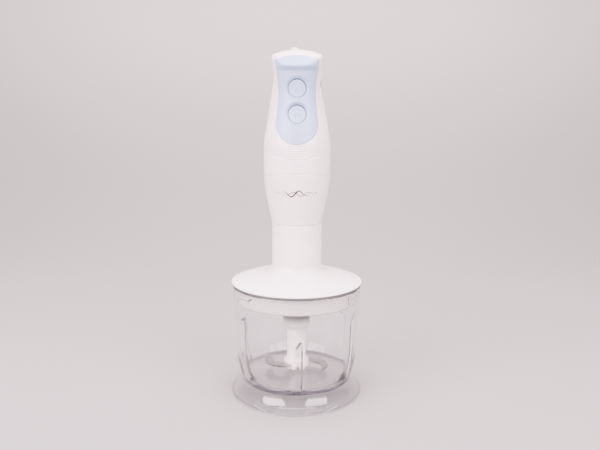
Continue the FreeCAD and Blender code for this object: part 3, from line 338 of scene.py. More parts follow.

# %% [markdown]
# ### Clear plastic
#
# The bowl is a clear, stiff plastic that bends and mirrors light. Its thick corner looks darker than its thin
# wall, and the paper under its foot lies in shade. A shader of this kind doesn't know how thick a piece is or
# what lies in shade under it, so painted shade follows the height instead: a greyish foot for the shade under
# it, a dark ring at the floor's corner and a clear wall. Inside the corner the floor stays clear.

# %% Painted shade in the clear plastic
clear = Finish("clear_plastic", (0.97, 0.97, 0.975), 0.02, Transmission_Weight=1.0, IOR=1.55)
level = clear.node("ShaderNodeSeparateXYZ")
clear.link(clear.place, level.inputs["Vector"])
height_share = fill(clear.node("ShaderNodeMapRange"), From_Max=0.027)
clear.link(level.outputs["Z"], height_share.inputs["Value"])
# painted shade by height: a grey foot for the shade under it, a near black ring at the floor's corner
painted_shade_ramp = clear.node("ShaderNodeValToRGB")
clear.link(height_share.outputs["Result"], painted_shade_ramp.inputs["Fac"])
stops = painted_shade_ramp.color_ramp.elements
stops[0].position, stops[0].color = 0.02, (0.62, 0.62, 0.63, 1)
stops[1].position, stops[1].color = 1.0, (0.97, 0.97, 0.975, 1)
for spot, shade in ((0.06, (0.74, 0.74, 0.75, 1)), (0.59, (0.66, 0.66, 0.68, 1)), (0.63, (0.10, 0.10, 0.13, 1)),
                    (0.745, (0.13, 0.13, 0.17, 1)), (0.80, (0.97, 0.97, 0.975, 1))):
    stops.new(spot).color = shade

# %% Where the painted shade acts
flat = clear.node("ShaderNodeVectorMath", operation="MULTIPLY")
flat.inputs[1].default_value = (1, 1, 0)
clear.link(clear.place, flat.inputs[0])
reach_out = clear.node("ShaderNodeVectorMath", operation="LENGTH")
clear.link(flat.outputs["Vector"], reach_out.inputs[0])
# the painted shade acts only beyond about 50 mm from the axis, so the floor inside the corner stays clear
thick = fill(clear.node("ShaderNodeMapRange"), From_Min=0.049, From_Max=0.0525)
clear.link(reach_out.outputs["Value"], thick.inputs["Value"])
corner_mix = fill(clear.node("ShaderNodeMix", data_type="RGBA"), A=(0.95, 0.95, 0.955, 1))
clear.link(thick.outputs["Result"], corner_mix.inputs["Factor"])
clear.link(painted_shade_ramp.outputs["Color"], corner_mix.inputs["B"])
clear.link(corner_mix.outputs["Result"], clear.shader.inputs["Base Color"])

# %% [markdown]
# A pure glass shader throws a black shadow, because lamps are not followed through it. So rays that only ask
# whether a lamp is in sight pass straight through a slightly grey sheet, and all others see the plastic. Faint
# wiping marks in the gloss keep it from looking like empty air.

# %% Gloss and shadow of the clear plastic
clear.gloss(45, 0.0, 0.045, (1, 1, 2.5))
clear.bump(clear.noise(24, 2), 0.05, 0.5)
see_through = fill(clear.node("ShaderNodeBsdfTransparent"), Color=(0.76, 0.757, 0.76, 1))
lamp_ray = clear.node("ShaderNodeLightPath").outputs["Is Shadow Ray"]
clear_mix = clear.node("ShaderNodeMixShader")
clear.link(lamp_ray, clear_mix.inputs["Fac"])
clear.link(clear.shader.outputs["BSDF"], clear_mix.inputs[1])
clear.link(see_through.outputs["BSDF"], clear_mix.inputs[2])
clear.link(clear_mix.outputs["Shader"], clear.tree.nodes["Material Output"].inputs["Surface"])

# %% [markdown]
# ### Metals, rubber and what is inside
#
# The blade is ground along its length, so its texture is stretched. Stacked motor sheets are fine lines across
# the axis, windings are close rings, and sintered bushes are grainy. Shafts get a turned look from fine lines.

# %% Metals
blade_steel = Finish("ground_steel", (0.36, 0.355, 0.355), 0.3, 1.0, Anisotropic=0.3)
blade_steel.gloss(260, 0.2, 0.42, (1, 7, 1)).tone(90, (0.28, 0.275, 0.275), (1, 3, 1))
blade_steel.bump(blade_steel.noise(700, 2, (1, 9, 1)), 0.006)
screw_steel = Finish("zinc_steel", (0.62, 0.62, 0.60), 0.34, 1.0)
screw_steel.tone(300, (0.5, 0.5, 0.47)).gloss(400, 0.26, 0.45).bump(screw_steel.noise(2000, 2), 0.006)
shaft_steel = Finish("turned_steel", (0.58, 0.58, 0.58), 0.22, 1.0)
shaft_steel.gloss(300, 0.16, 0.3, (1, 1, 8)).bump(shaft_steel.lines(900), 0.003)
sheet_steel = Finish("stacked_sheets", (0.33, 0.34, 0.36), 0.42, 1.0)
sheet_steel.tone(80, (0.24, 0.22, 0.21)).gloss(200, 0.34, 0.55).bump(sheet_steel.lines(320), 0.05)
copper = Finish("enamelled_copper", (0.62, 0.23, 0.10), 0.3, 0.85, Coat_Weight=0.5, Coat_Roughness=0.15)
copper.tone(140, (0.45, 0.14, 0.06)).gloss(260, 0.24, 0.4).bump(copper.rings(420, 1.2), 0.12)
bars = Finish("commutator_copper", (0.70, 0.36, 0.20), 0.25, 1.0)
bars.tone(200, (0.42, 0.22, 0.13)).gloss(300, 0.2, 0.4, (1, 1, 6)).bump(bars.lines(700), 0.01)
bronze = Finish("sintered_bronze", (0.48, 0.33, 0.17), 0.45, 1.0)
bronze.tone(600, (0.33, 0.22, 0.11)).gloss(700, 0.38, 0.6).bump(bronze.noise(1800, 4), 0.03)
brass = Finish("stamped_brass", (0.72, 0.53, 0.24), 0.3, 1.0)
brass.tone(160, (0.6, 0.42, 0.18)).gloss(300, 0.24, 0.4, (5, 1, 1)).bump(brass.noise(900, 2, (6, 1, 1)), 0.006)

# %% [markdown]
# Seals are matt and slightly dusty. The grey cup round the blade's hub gets painted shade that darkens it
# upwards, where it sits in the lid's shadow. Gears are waxy nylon, and the wires and the capacitor have the
# colours that such parts come in.

# %% Rubber and inner plastics
rubber = Finish("seal_rubber", (0.075, 0.077, 0.08), 0.62)
rubber.tone(160, (0.05, 0.052, 0.055)).gloss(300, 0.52, 0.72).bump(rubber.noise(1200, 3), 0.02)
grey_seal = Finish("grey_seal", (0.60, 0.60, 0.56), 0.5)
# painted shade: near black at the cup's top, under the lid, fading to its grey lower down
grey_seal.tone(1, (0.05, 0.06, 0.05), source=grey_seal.along("Z", 0.0695, 0.0785)).gloss(160, 0.42, 0.58)
grey_seal.bump(grey_seal.noise(900, 2), 0.012)
bush_grey = Finish("inlet_grey", (0.62, 0.605, 0.60), 0.42)
bush_grey.tone(120, (0.55, 0.54, 0.53)).gloss(260, 0.36, 0.5).bump(bush_grey.noise(1100, 2), 0.012)
nylon = Finish("gear_nylon", (0.74, 0.70, 0.60), 0.38)
nylon.tone(130, (0.66, 0.615, 0.50)).gloss(300, 0.3, 0.48).bump(nylon.noise(1300, 2), 0.01)
black_nylon = Finish("black_nylon", (0.028, 0.028, 0.03), 0.45)
black_nylon.tone(130, (0.045, 0.045, 0.047)).gloss(300, 0.36, 0.56).bump(black_nylon.noise(900, 4), 0.03)
yellow = Finish("capacitor_case", (0.72, 0.47, 0.05), 0.3, Coat_Weight=0.2)
yellow.tone(90, (0.62, 0.38, 0.04)).gloss(200, 0.24, 0.4).bump(yellow.noise(500, 2), 0.02)
wire_red = Finish("lead_insulation", (0.52, 0.035, 0.03), 0.35)
wire_red.tone(200, (0.42, 0.025, 0.02)).gloss(400, 0.28, 0.45).bump(wire_red.noise(900, 2), 0.02)
carbon = Finish("pressed_carbon", (0.035, 0.035, 0.038), 0.5, 0.2)
carbon.tone(500, (0.07, 0.07, 0.072)).gloss(500, 0.4, 0.65).bump(carbon.noise(2000, 4), 0.02)

# %% Circuit board and paper
board = Finish("circuit_board", (0.035, 0.16, 0.06), 0.35, Coat_Weight=0.3)
tracks = fill(board.node("ShaderNodeTexBrick"), Scale=160, Mortar_Size=0.06)
board.link(board.stretched((1, 1, 1)), tracks.inputs["Vector"])
board.tone(1, (0.07, 0.27, 0.11), source=tracks.outputs["Fac"], low=0.0, high=1.0)
board.gloss(200, 0.3, 0.45).bump(tracks.outputs["Fac"], 0.03)
paper = Finish("sweep_paper", (0.245, 0.228, 0.232), 0.85)
# painted light: the paper is painted about twice as light high up the wall behind as on the floor
fade = paper.along("Z", 0.0, 0.75)
paper.tone(3, (0.50, 0.455, 0.462), source=fade).gloss(6, 0.8, 0.9).bump(paper.noise(900, 3), 0.02)
sweep.data.materials.append(paper.material)
print("finishes:", len(bpy.data.materials))

# %% [markdown]
# ### Which node wears what
#
# The frame says what each node is made of. That picks its finish, and a few nodes get one closer to the real
# piece, such as the motor's shaft beside ordinary screws.

# %% Dress the frame
by_slot = {
    "white_plastic": inner_white, "blue_grip": blue, "clear_plastic": clear, "steel": screw_steel,
    "grey_seal": grey_seal, "grey_plastic": bush_grey, "seal_rubber": rubber, "gear_plastic": nylon,
    "black_plastic": black_nylon, "yellow_plastic": yellow, "wire_plastic": wire_red, "board": board,
    "lamination_steel": sheet_steel, "copper": copper, "brass": brass, "bronze": bronze, "carbon": carbon,
}
by_node = {
    "lower_blade": blade_steel, "upper_blade": blade_steel, "motor_shaft": shaft_steel,
    "input_shaft": shaft_steel, "pivot_pin": shaft_steel, "planet_pins": shaft_steel, "commutator": bars,
    "blade_hub": white, "lid_base": painted_shade_skirt,
}
slot_of = {entry["node"]: entry["material_slot"] for entry in frame["record"]["subparts"]}
for name, node in nodes.items():
    node.data.materials.clear()
    node.data.materials.append(by_node.get(name, by_slot[slot_of[name]]).material)

# %% [markdown]
# ## Turned pieces
#
# The bowl, the lid and the lower housing are round. Each starts as a profile: one point, extruded from corner
# to corner, which is then spun about the upright axis. Corners are softened in the profile itself, because a
# moulded edge is never sharp, and its small round is what catches a thin line of light.


# %% Profile helpers
def soften(corners, steps=5):
    """Points of an open profile in mm. A corner given as (r, z, fillet) becomes a small arc."""
    points = []
    for k, corner in enumerate(corners):
        here = np.array(corner[:2], float)
        if len(corner) < 3 or k in (0, len(corners) - 1):
            points.append(here)
            continue
        a = np.array(corners[k - 1][:2], float) - here
        b = np.array(corners[k + 1][:2], float) - here
        run_a, run_b = np.linalg.norm(a), np.linalg.norm(b)
        a, b = a / run_a, b / run_b
        half = math.acos(max(-1, min(1, a @ b))) / 2
        cut = min(corner[2] / math.tan(half), 0.48 * run_a, 0.48 * run_b)
        radius = cut * math.tan(half)
        centre = here + (a + b) / np.linalg.norm(a + b) * radius / math.sin(half)
        start, end = here + a * cut - centre, here + b * cut - centre
        for j in range(steps + 1):
            ray = start * (1 - j / steps) + end * (j / steps)
            points.append(centre + ray / np.linalg.norm(ray) * radius)
    return points


def bend(first, middle, last, steps):
    """Points on the arc through three points, both ends included."""
    a, b, c = (np.array(p, float) for p in (first, middle, last))
    d = 2 * (a[0] * (b[1] - c[1]) + b[0] * (c[1] - a[1]) + c[0] * (a[1] - b[1]))
    ux = ((a @ a) * (b[1] - c[1]) + (b @ b) * (c[1] - a[1]) + (c @ c) * (a[1] - b[1])) / d
    uy = ((a @ a) * (c[0] - b[0]) + (b @ b) * (a[0] - c[0]) + (c @ c) * (b[0] - a[0])) / d
    centre = np.array((ux, uy))
    angles = [math.atan2(*(p - centre)[::-1]) for p in (a, b, c)]
    sweep_ab = (angles[1] - angles[0] + math.pi) % (2 * math.pi) - math.pi
    sweep_bc = (angles[2] - angles[1] + math.pi) % (2 * math.pi) - math.pi
    total = sweep_ab + sweep_bc
    radius = np.linalg.norm(a - centre)
    return [centre + radius * np.array((math.cos(angles[0] + total * k / steps),
                                        math.sin(angles[0] + total * k / steps))) for k in range(steps + 1)]


def spin_profile(name, points, steps, closed=True):
    """Extrudes a point along a profile of (radius, height) in mm, then spins it once round the axis."""
    points = [np.array(p, float) for p in points]
    if closed:
        points.append(points[0])
    rest_selection()
    bpy.ops.mesh.primitive_plane_add(size=0.01)
    piece = bpy.context.object
    piece.name = name
    piece.data.name = name
    bpy.ops.object.mode_set(mode="EDIT")
    bpy.ops.mesh.select_mode(type="VERT")
    bpy.ops.mesh.select_all(action="SELECT")
    bpy.ops.mesh.merge(type="CENTER")
    bpy.ops.transform.translate(value=(points[0][0] * MM, 0, points[0][1] * MM))
    for here, there in zip(points, points[1:]):
        step = (there - here) * MM
        bpy.ops.mesh.extrude_vertices_move(TRANSFORM_OT_translate={"value": (step[0], 0, step[1])})
    bpy.ops.mesh.select_all(action="SELECT")
    bpy.ops.mesh.spin(steps=steps, angle=2 * math.pi, center=(0, 0, 0), axis=(0, 0, 1))
    bpy.ops.mesh.select_all(action="SELECT")
    bpy.ops.mesh.remove_doubles(threshold=0.000004)
    bpy.ops.mesh.normals_make_consistent(inside=False)
    bpy.ops.object.mode_set(mode="OBJECT")
    return piece


def finish_piece(piece, material, node=None, body=None, angle=32):
    """Smooth shading, finish, and the piece's place in the frame."""
    wake(piece)
    bpy.ops.object.shade_smooth_by_angle(angle=math.radians(angle))
    piece.data.materials.clear()
    piece.data.materials.append(material.material)
    if node:
        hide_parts(node)
        body = nodes[node]["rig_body"]
    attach(piece, body)
    print(piece.name, "faces:", len(piece.data.polygons), "on", body)
    return piece


def ease(t):
    """Goes from 0 to 1 with a level start and end."""
    t = np.clip(t, 0, 1)
    return t * t * (3 - 2 * t)


def vertex_array(piece):
    flat = np.zeros(len(piece.data.vertices) * 3)
    piece.data.vertices.foreach_get("co", flat)
    return flat.reshape(-1, 3) / MM


def set_vertices(piece, places):
    piece.data.vertices.foreach_set("co", (places * MM).astype(np.float32).ravel())
    piece.data.update()


# %% [markdown]
# ### The bowl
#
# One clear moulding: a flared foot, a thick floor, a wall that widens upwards, six ribs that stir the food
# back, and three ramps under the rim that hold the lid. A separate rib pushed into a clear wall would show its
# hidden half, so the ribs are not added at all. The inner wall's own vertices are moved inwards over each rib,
# which keeps the bowl one closed skin, and light then bends in it as in the real piece.

# %% Bowl values
rim_z = box_mm("bowl")[1][2]
foot_r = 65.0
floor_top = 20.5
floor_under = 16.5
outer_wall = bend((54.8, floor_under + 1.2), (58.28, 31.75), (60.6, 47.0), 16)
inner_wall = bend((52.55, floor_top + 3.0), (55.68, 33.25), (58.0, 47.0), 16)
rise_levels = list(np.arange(48.5, 102.0, 1.5)) + [102.6, 102.9, 103.3, 104.4, 105.5, 105.9, 106.2, 107.6]
inner_rise = [np.array((58.0 + 2.2 * (z - 47.0) / 62.5, z)) for z in rise_levels]
foot_flare = bend((foot_r, 1.8), (58.17, 6.93), (54.3, 15.9), 18)
under_flare = [p + np.array((-2.2, 0.4)) for p in foot_flare]

# %% Bowl profile
profile = [np.array(p) for p in ((62.9, 0.0), (63.3, -0.0), (64.5, 0.0), (64.87, 0.12), (foot_r, 0.5))]
profile += foot_flare + [np.array((54.55, 16.7))] + outer_wall
profile += soften([(60.6, 47.0), (62.75, 108.0), (62.8, rim_z, 0.6), (60.2, rim_z, 0.5), (60.15, 108.3)], 4)[1:]
profile += inner_rise[::-1] + inner_wall[::-1]
profile += bend((52.5, floor_top + 2.9), (51.3, floor_top + 0.88), (49.2, floor_top), 6)[1:]
profile += [np.array((r, floor_top)) for r in (44, 30, 16, 7.2)]
profile += [np.array(p) for p in ((6.4, floor_top + 0.15), (5.9, floor_top + 1.1), (5.4, floor_top + 1.5),
                                  (2.0, floor_top + 1.5))]
profile += [np.array((r, floor_under)) for r in (2.0, 8, 20, 34, 46, 50.2)]
profile += under_flare[::-1][1:] + [np.array((62.8, 0.4))]
bowl = spin_profile("clear_bowl", profile, 480)
print("bowl profile points:", len(profile))

# %% [markdown]
# Which vertices may move is found by their place: those on the inner wall's line, and those on the round corner
# between wall and floor. Each rib has a gentle flank and a steeper one, and a slanted top. Three ribs are tall,
# the three between them are low and flatter.

# %% Push the ribs out of the inner wall
tall_ribs = [(-56, 86.0), (64, 86.0), (184, 86.0)]
short_ribs = [(4, 71.3), (124, 71.3), (244, 71.3)]
places = vertex_array(bowl)
radius = np.hypot(places[:, 0], places[:, 1])
azimuth = np.degrees(np.arctan2(places[:, 0], -places[:, 1]))
inner_line = np.array(inner_wall + inner_rise)
wall_here = np.interp(places[:, 2], inner_line[:, 1], inner_line[:, 0])
above_floor = places[:, 2] - floor_top
on_wall = (above_floor > 2.9) & (np.abs(radius - wall_here) < 0.06)
on_corner = (above_floor > -0.01) & (above_floor <= 2.95) & (radius > 49.0) & (radius < 52.7)
depth = np.zeros(len(places))


def turn_from(middle):
    return (azimuth - middle + 180.0) % 360.0 - 180.0


rib_shapes = [(*rib, 2.7, 1.7) for rib in tall_ribs] + [(*rib, 1.3, 2.2) for rib in short_ribs]
for middle, top, height, flank in rib_shapes:
    along = np.radians(turn_from(middle)) * 57.0
    steep = ease((2.6 - along) / flank)
    ramp = ease((along + 9.5) / 10.2) ** 1.5
    crest = top - np.clip(1.55 - along, 0, None)
    rib = height * np.minimum(steep, ramp) * np.clip((crest - places[:, 2]) / 1.1, 0, 1)
    depth = np.maximum(depth, rib)

# %% [markdown]
# The three ramps that hold the lid's lugs lie above the tall ribs. A ramp rises at one end, where the lug
# slides in, and has a short stop hanging down at the other.

# %% Push the ramps out and finish the bowl
for middle, _ in tall_ribs:
    across = turn_from(middle)
    ramp_side = np.clip((across + 10.8) / 0.5, 0, 1) * np.clip((13.7 - across) / 0.5, 0, 1)
    under = 102.6 + 3.0 * np.clip((across - 8.2) / 5.5, 0, 1) - 4.0 * (across < -8.3)
    level = np.clip((places[:, 2] - under) / 0.3, 0, 1) * np.clip((106.2 - places[:, 2]) / 0.3, 0, 1)
    depth = np.maximum(depth, 1.4 * ramp_side * level)
moved = np.where(on_wall | on_corner, depth, 0.0)
places[:, :2] *= (1 - moved / np.maximum(radius, 1))[:, None]
set_vertices(bowl, places)
finish_piece(bowl, clear, node="bowl", angle=28)

# %% [markdown]
# ### The lid
#
# A shallow dome that runs in a soft curve into a tall neck. The rim is drawn with a small round at its foot,
# where it meets the dark seal. Inside the neck are a step for the handle's ring, a ledge that holds the gear
# cover, and three short ramps for the handle's lock, which show when the handle is lifted out.

# %% Lid
rim_under = 111.0
neck_top = box_mm("lid_shell")[1][2]
slope_foot = (33.55, rim_under + 10.5)
dome = bend((62.6, rim_under + 2.2), (48.67, rim_under + 7.14), slope_foot, 20)
neck_round = bend(slope_foot, (26.615, slope_foot[1] + 3.23), (24.05, slope_foot[1] + 10.1), 14)
lid_line = soften([(61.5, rim_under + 2.0), (61.2, rim_under + 1.2, 0.2), (63.8, rim_under + 1.2, 0.35),
                   (63.8, rim_under + 2.1, 0.7), tuple(dome[1])], 5)[:-1]
lid_line += dome[1:] + neck_round[1:]
lid_line += soften([(24.05, 134.0), (24.05, neck_top, 0.5), (22.6, neck_top, 0.35), (22.6, neck_top - 4.5),
                    (21.65, neck_top - 5.2), (21.65, 165.6)], 4)
lid_line += [np.array((21.65, z)) for z in (165.3, 165.0, 163.6, 162.5, 162.2, 161.9, 158.0, 152.0, 144.0)]
lid_line += [np.array(p) for p in ((21.65, 136.1), (19.6, 136.1), (19.6, 134.1), (21.65, 134.1), (21.65, 119.2),
                                   (27.5, 119.1))]
lid_line += [p + np.array((-0.6, -2.4)) for p in dome[::-1][6:-1]]
lid = spin_profile("lid_dome", lid_line, 288)

# %% [markdown]
# The handle's lugs slide under three short ramps inside the neck. They are pushed out of the neck's wall, as
# the bowl's were.

# %% Push the neck's ramps out
places = vertex_array(lid)
radius = np.hypot(places[:, 0], places[:, 1])
azimuth = np.degrees(np.arctan2(places[:, 0], -places[:, 1]))
in_neck = (np.abs(radius - 21.65) < 0.05) & (places[:, 2] > 158) & (places[:, 2] < 166)
lock = np.zeros(len(places))
for middle in (30, 150, 270):
    across = turn_from(middle)
    side = np.clip((across + 10.8) / 1.0, 0, 1) * np.clip((13.7 - across) / 1.0, 0, 1)
    level = np.clip((places[:, 2] - 161.9) / 0.3, 0, 1) * np.clip((165.3 - places[:, 2]) / 0.3, 0, 1)
    lock = np.maximum(lock, 2.1 * side * level)
places[:, :2] *= (1 - np.where(in_neck, lock, 0.0) / np.maximum(radius, 1))[:, None]
set_vertices(lid, places)
finish_piece(lid, white, node="lid_shell", angle=30)

# %% [markdown]
# ### The dark seal under the lid
#
# A rubber ring with a rounded lip that stands a little outside the bowl's rim. It draws the dark line round
# the object: partly the real dark seal, partly painted shade, since its lip is made to fill the shaded gap
# under the lid's rim. So it gets a real section, spun like the lid, instead of a square one.

# %% Lid seal
seal_low = box_mm("lid_seal")[0][2]
seal_top = rim_under + 1.18
# the lip reaching out to 63.5 mm is dark rubber that also stands in for the shade under the lid's rim
seal_line = soften([(61.0, seal_top - 0.5), (61.0, seal_low + 0.02, 0.25), (62.5, seal_low + 0.02, 0.2),
                    (63.5, seal_low + 0.9, 0.45), (63.5, seal_top, 0.25), (61.0, seal_top, 0.25),
                    (61.0, seal_top - 0.5)], 3)[:-1]
seal = spin_profile("lid_lip_seal", seal_line, 240)
finish_piece(seal, rubber, node="lid_seal", angle=40)

# %% [markdown]
# ### The cup round the blade's hub
#
# A soft grey cup keeps food out of the drive. Its lower end curves in to the hub like the end of a bulb.

# %% Spindle cup
cup_low, cup_high = box_mm("spindle_seal")
cup_line = bend((10.6, cup_low[2]), (12.55, cup_low[2] + 2.9), (13.4, cup_low[2] + 7.5), 10)
cup_line += soften([tuple(cup_line[-1]), (13.5, cup_high[2], 0.5), (12.1, cup_high[2], 0.3), (12.1, 82.0),
                    (10.45, 79.0), (10.45, cup_low[2] + 0.3), (10.6, cup_low[2])], 3)[1:-1]
cup = spin_profile("spindle_cup", cup_line, 144)
finish_piece(cup, grey_seal, node="spindle_seal", angle=40)

# %% [markdown]
# ## The handle
#
# The handle isn't round all the way up. From a round foot it swells into a barrel, narrows to a waist where the
# thumb lies, and flares again under a domed crown. The front of the crown is cut off by a slope that makes a
# lip over the buttons. Boolean cuts would leave hard edges there, so the form is written as a rule instead:
# how far a point is outside the body, outside the crown's sphere, and above the slope. The largest of the
# three decides, and blending them over a few millimetres gives every edge its round.

# %% The handle's rule
crown = 332.6
handle_foot = 171.1
barrel_top = handle_foot + 70.0
waist = barrel_top + 59.0
lip_slope = math.radians(52)
turn_z = crown - 22.0


def reach(z):
    """Half width, front reach and back reach at a height, in mm."""
    climb = np.clip((z - handle_foot) / 50.0, 0, 1)
    round_part = 24.05 + (31.75 - 24.05) * np.sin(np.pi / 2 * climb) ** 1.15
    narrow = ease((z - barrel_top) / 59.0)
    above = np.clip((z - waist) / 28.0, 0, None)
    width = round_part - 10.25 * narrow + 2.9 * above ** 1.6
    front = round_part - 7.75 * narrow + 2.5 * ease(above * 1.27) + 4.2 * ease((z - 311.4) / 5.6)
    back = round_part - 7.25 * narrow + 1.5 * above ** 1.6
    return width, front, back


def blend(a, b, size):
    near = np.clip(size - np.abs(a - b), 0, None) / size
    return np.maximum(a, b) + near * near * size / 4


def outside(x, y, z, grow=0.0, lip_round=1.6):
    """Above zero outside the handle, below zero inside it."""
    width, front, back = reach(z)
    depth_here = np.where(y > 0, back, front) + grow
    width = width + grow
    power = np.where(y < 0, 2 + 0.9 * ease((z - waist + 10) / 28), 2.0)
    away = (np.abs(x / width) ** power + np.abs(y / depth_here) ** power) ** (1 / power)
    side = (away - 1) * np.minimum(width, depth_here)
    ball = np.sqrt(x * x + y * y + np.clip(z - (crown - 62.0), 0, None) ** 2) - (62.0 + grow)
    lip = -(y + 29.0) * math.sin(lip_slope) + (z - (crown - 15.4)) * math.cos(lip_slope) - grow
    return blend(blend(side, ball, 3.6), lip, lip_round)


def skin(angle, t, grow=0.0, lip_round=1.6):
    """Points on the skin. t is the height up to turn_z, and beyond it the climb over the crown, in mm."""
    climb = np.clip((t - turn_z) / 34.0, 0, 1) * np.pi / 2
    start_z = np.minimum(t, turn_z)
    dx, dy, dz = np.sin(angle) * np.cos(climb), -np.cos(angle) * np.cos(climb), np.sin(climb)
    low, high = np.zeros_like(t), np.full_like(t, 60.0)
    for _ in range(34):
        middle = (low + high) / 2
        out = outside(dx * middle, dy * middle, start_z + dz * middle, grow, lip_round) > 0
        high = np.where(out, middle, high)
        low = np.where(out, low, middle)
    return np.stack([dx * low, dy * low, start_z + dz * low], 1)


def front_depth(x, z, grow=0.0, lip_round=1.6, side=-1):
    """How far from the axis the skin is, seen straight from the front, or from behind with side=1."""
    low, high = np.zeros_like(x), np.full_like(x, 50.0)
    for _ in range(34):
        middle = (low + high) / 2
        out = outside(x, side * middle, z, grow, lip_round) > 0
        high = np.where(out, middle, high)
        low = np.where(out, low, middle)
    return low


# %% [markdown]
# ### From the rule to a mesh
#
# The halves of the upper housing have an outline each: the seams, and on the front one also the opening for
# the grip panel. Points are spread evenly over the skin, kept a little off every outline, and joined to it by
# triangles. The joining is done on a flat map on which the whole skin fits without being folded, a map that
# keeps small shapes true, so the triangles come out even on the handle as well.


# %% Map and mesh helpers
def to_map(angle, t):
    """A place on the skin as a point of the flat map."""
    climb = np.clip((t - turn_z) / 34.0, 0, 1) * np.pi / 2
    spread_out = np.where(t <= turn_z, np.exp((turn_z - t) / 27.0), np.tan((np.pi / 2 - climb) / 2))
    return np.stack([spread_out * np.sin(angle), -spread_out * np.cos(angle)], 1)


def place_of(x, z, side=-1):
    """Angle and t of the point of the skin at (x, z) in the front view, or in the rear one with side=1."""
    y = front_depth(x, z, side=side)
    angle = np.arctan2(x, -side * y) % (2 * np.pi)
    climb = np.arctan2(z - turn_z, np.hypot(x, y))
    return angle, np.where(z <= turn_z, z, turn_z + climb / (np.pi / 2) * 34.0)


def line_distance(points, loop):
    """Distance of each point from a closed loop."""
    best = np.full(len(points), 1e9)
    for a, b in zip(loop, np.roll(loop, -1, 0)):
        run = b - a
        share = np.clip(((points - a) @ run) / max(run @ run, 1e-12), 0, 1)
        best = np.minimum(best, np.linalg.norm(points - (a + share[:, None] * run), axis=1))
    return best


def within(points, loop):
    """Which points lie inside a closed loop."""
    hit = np.zeros(len(points), bool)
    for a, b in zip(loop, np.roll(loop, -1, 0)):
        crosses = (a[1] > points[:, 1]) != (b[1] > points[:, 1])
        with np.errstate(divide="ignore", invalid="ignore"):
            at = (b[0] - a[0]) * (points[:, 1] - a[1]) / (b[1] - a[1]) + a[0]
        hit ^= crosses & (points[:, 0] < at)
    return hit


def join_points(loops, extra):
    """Triangles between closed loops and free points on a flat map, inside the first loop, outside the rest."""
    stack, edges, count = [], [], 0
    for loop in loops:
        stack.append(loop)
        edges += [(count + k, count + (k + 1) % len(loop)) for k in range(len(loop))]
        count += len(loop)
    stack.append(extra)
    flat = np.concatenate(stack)
    made = delaunay_2d_cdt([Vector(p) for p in flat], edges, [], 0, 1e-7)
    order = [source[0] if source else -1 for source in made[3]]
    tris = np.array([[order[v] for v in face] for face in made[2]])
    tris = tris[(tris >= 0).all(1)]
    middle = flat[tris].mean(1)
    keep = within(middle, loops[0])
    for hole in loops[1:]:
        keep &= ~within(middle, hole)
    return tris[keep]


# %% [markdown]
# What comes out of the joining is one open skin. Its faces are turned outwards, and it is thickened like a
# sheet, with a small round along its edges where the piece asks for one.


# %% Skin to solid
def mesh_piece(name, points, tris):
    mesh = bpy.data.meshes.new(name)
    mesh.from_pydata([tuple(p * MM) for p in points], [], [tuple(int(v) for v in t) for t in tris])
    mesh.validate()
    piece = bpy.data.objects.new(name, mesh)
    bpy.context.scene.collection.objects.link(piece)
    whole_mesh(piece, bpy.ops.mesh.delete_loose)
    whole_mesh(piece, faces_out)
    return piece


def face_outwards(piece, probe):
    """Turns an open skin over if the face nearest to a point outside it looks away from that point."""
    faces = piece.data.polygons
    near = min(faces, key=lambda f: (f.center - Vector(probe)).length)
    if near.normal.dot(Vector(probe) - near.center) < 0:
        whole_mesh(piece, bpy.ops.mesh.flip_normals)


def soften_edges(piece, width, angle):
    """Rounds every edge that is sharper than an angle in degrees."""
    soft = piece.modifiers.new("edge", "BEVEL")
    soft.width = width * MM
    soft.segments = 2
    soft.limit_method = "ANGLE"
    soft.angle_limit = math.radians(angle)
    bpy.ops.object.modifier_apply(modifier="edge")


def thicken(piece, thickness, edge):
    """Gives an open skin its wall, inwards, and a small round along its edges."""
    wake(piece)
    shell = piece.modifiers.new("wall", "SOLIDIFY")
    shell.thickness = thickness * MM
    shell.offset = -1
    bpy.ops.object.modifier_apply(modifier="wall")
    if edge > 0:
        soften_edges(piece, edge, 50)


# %% [markdown]
# ### The panel's outline
#
# Seen from the front the panel is a tall shield: its top follows the slope of the lip, its sides draw in at the
# waist and its belly is half a circle. The outline is four arcs.

# %% Outline
button_levels = {"speed": 296.6, "turbo": 273.5}
belly_z = crown - 66.5


def panel_outline(grow, spacing=0.7):
    """The panel's edge in the front view, as (x, z), from the top's middle round to it again."""
    wide, slim, low = 20.4 + grow, 17.3 + grow, 19.6 + grow
    corner, top = crown - 11.2 + grow, crown - 7.0 + grow
    side = bend((wide, corner), (slim, 297.2), (low, belly_z), 400)
    right = bend((0, top), (wide * 0.55, top - (top - corner) * 0.31), (wide, corner), 200)
    turns = np.linspace(0, math.pi / 2, 300)
    half_round = [np.array((low * math.cos(a), belly_z - low * math.sin(a))) for a in turns]
    half_line = np.array(right + side[1:] + half_round[1:])
    run = np.concatenate([[0], np.cumsum(np.linalg.norm(np.diff(half_line, axis=0), axis=1))])
    count = int(run[-1] / spacing)
    even = np.stack([np.interp(np.linspace(0, run[-1], count), run, half_line[:, k]) for k in (0, 1)], 1)
    return np.concatenate([even, (even[::-1] * np.array((-1, 1)))[1:-1]])


# %% [markdown]
# Under the panel six short level grooves give the fingers a hold. The lowest is a little deeper and runs on to
# both sides as a faint, rising line.

# %% Grooves
groove_top = belly_z - 19.6 - 2.2
groove_levels = [groove_top - 2.3 * k for k in range(6)]


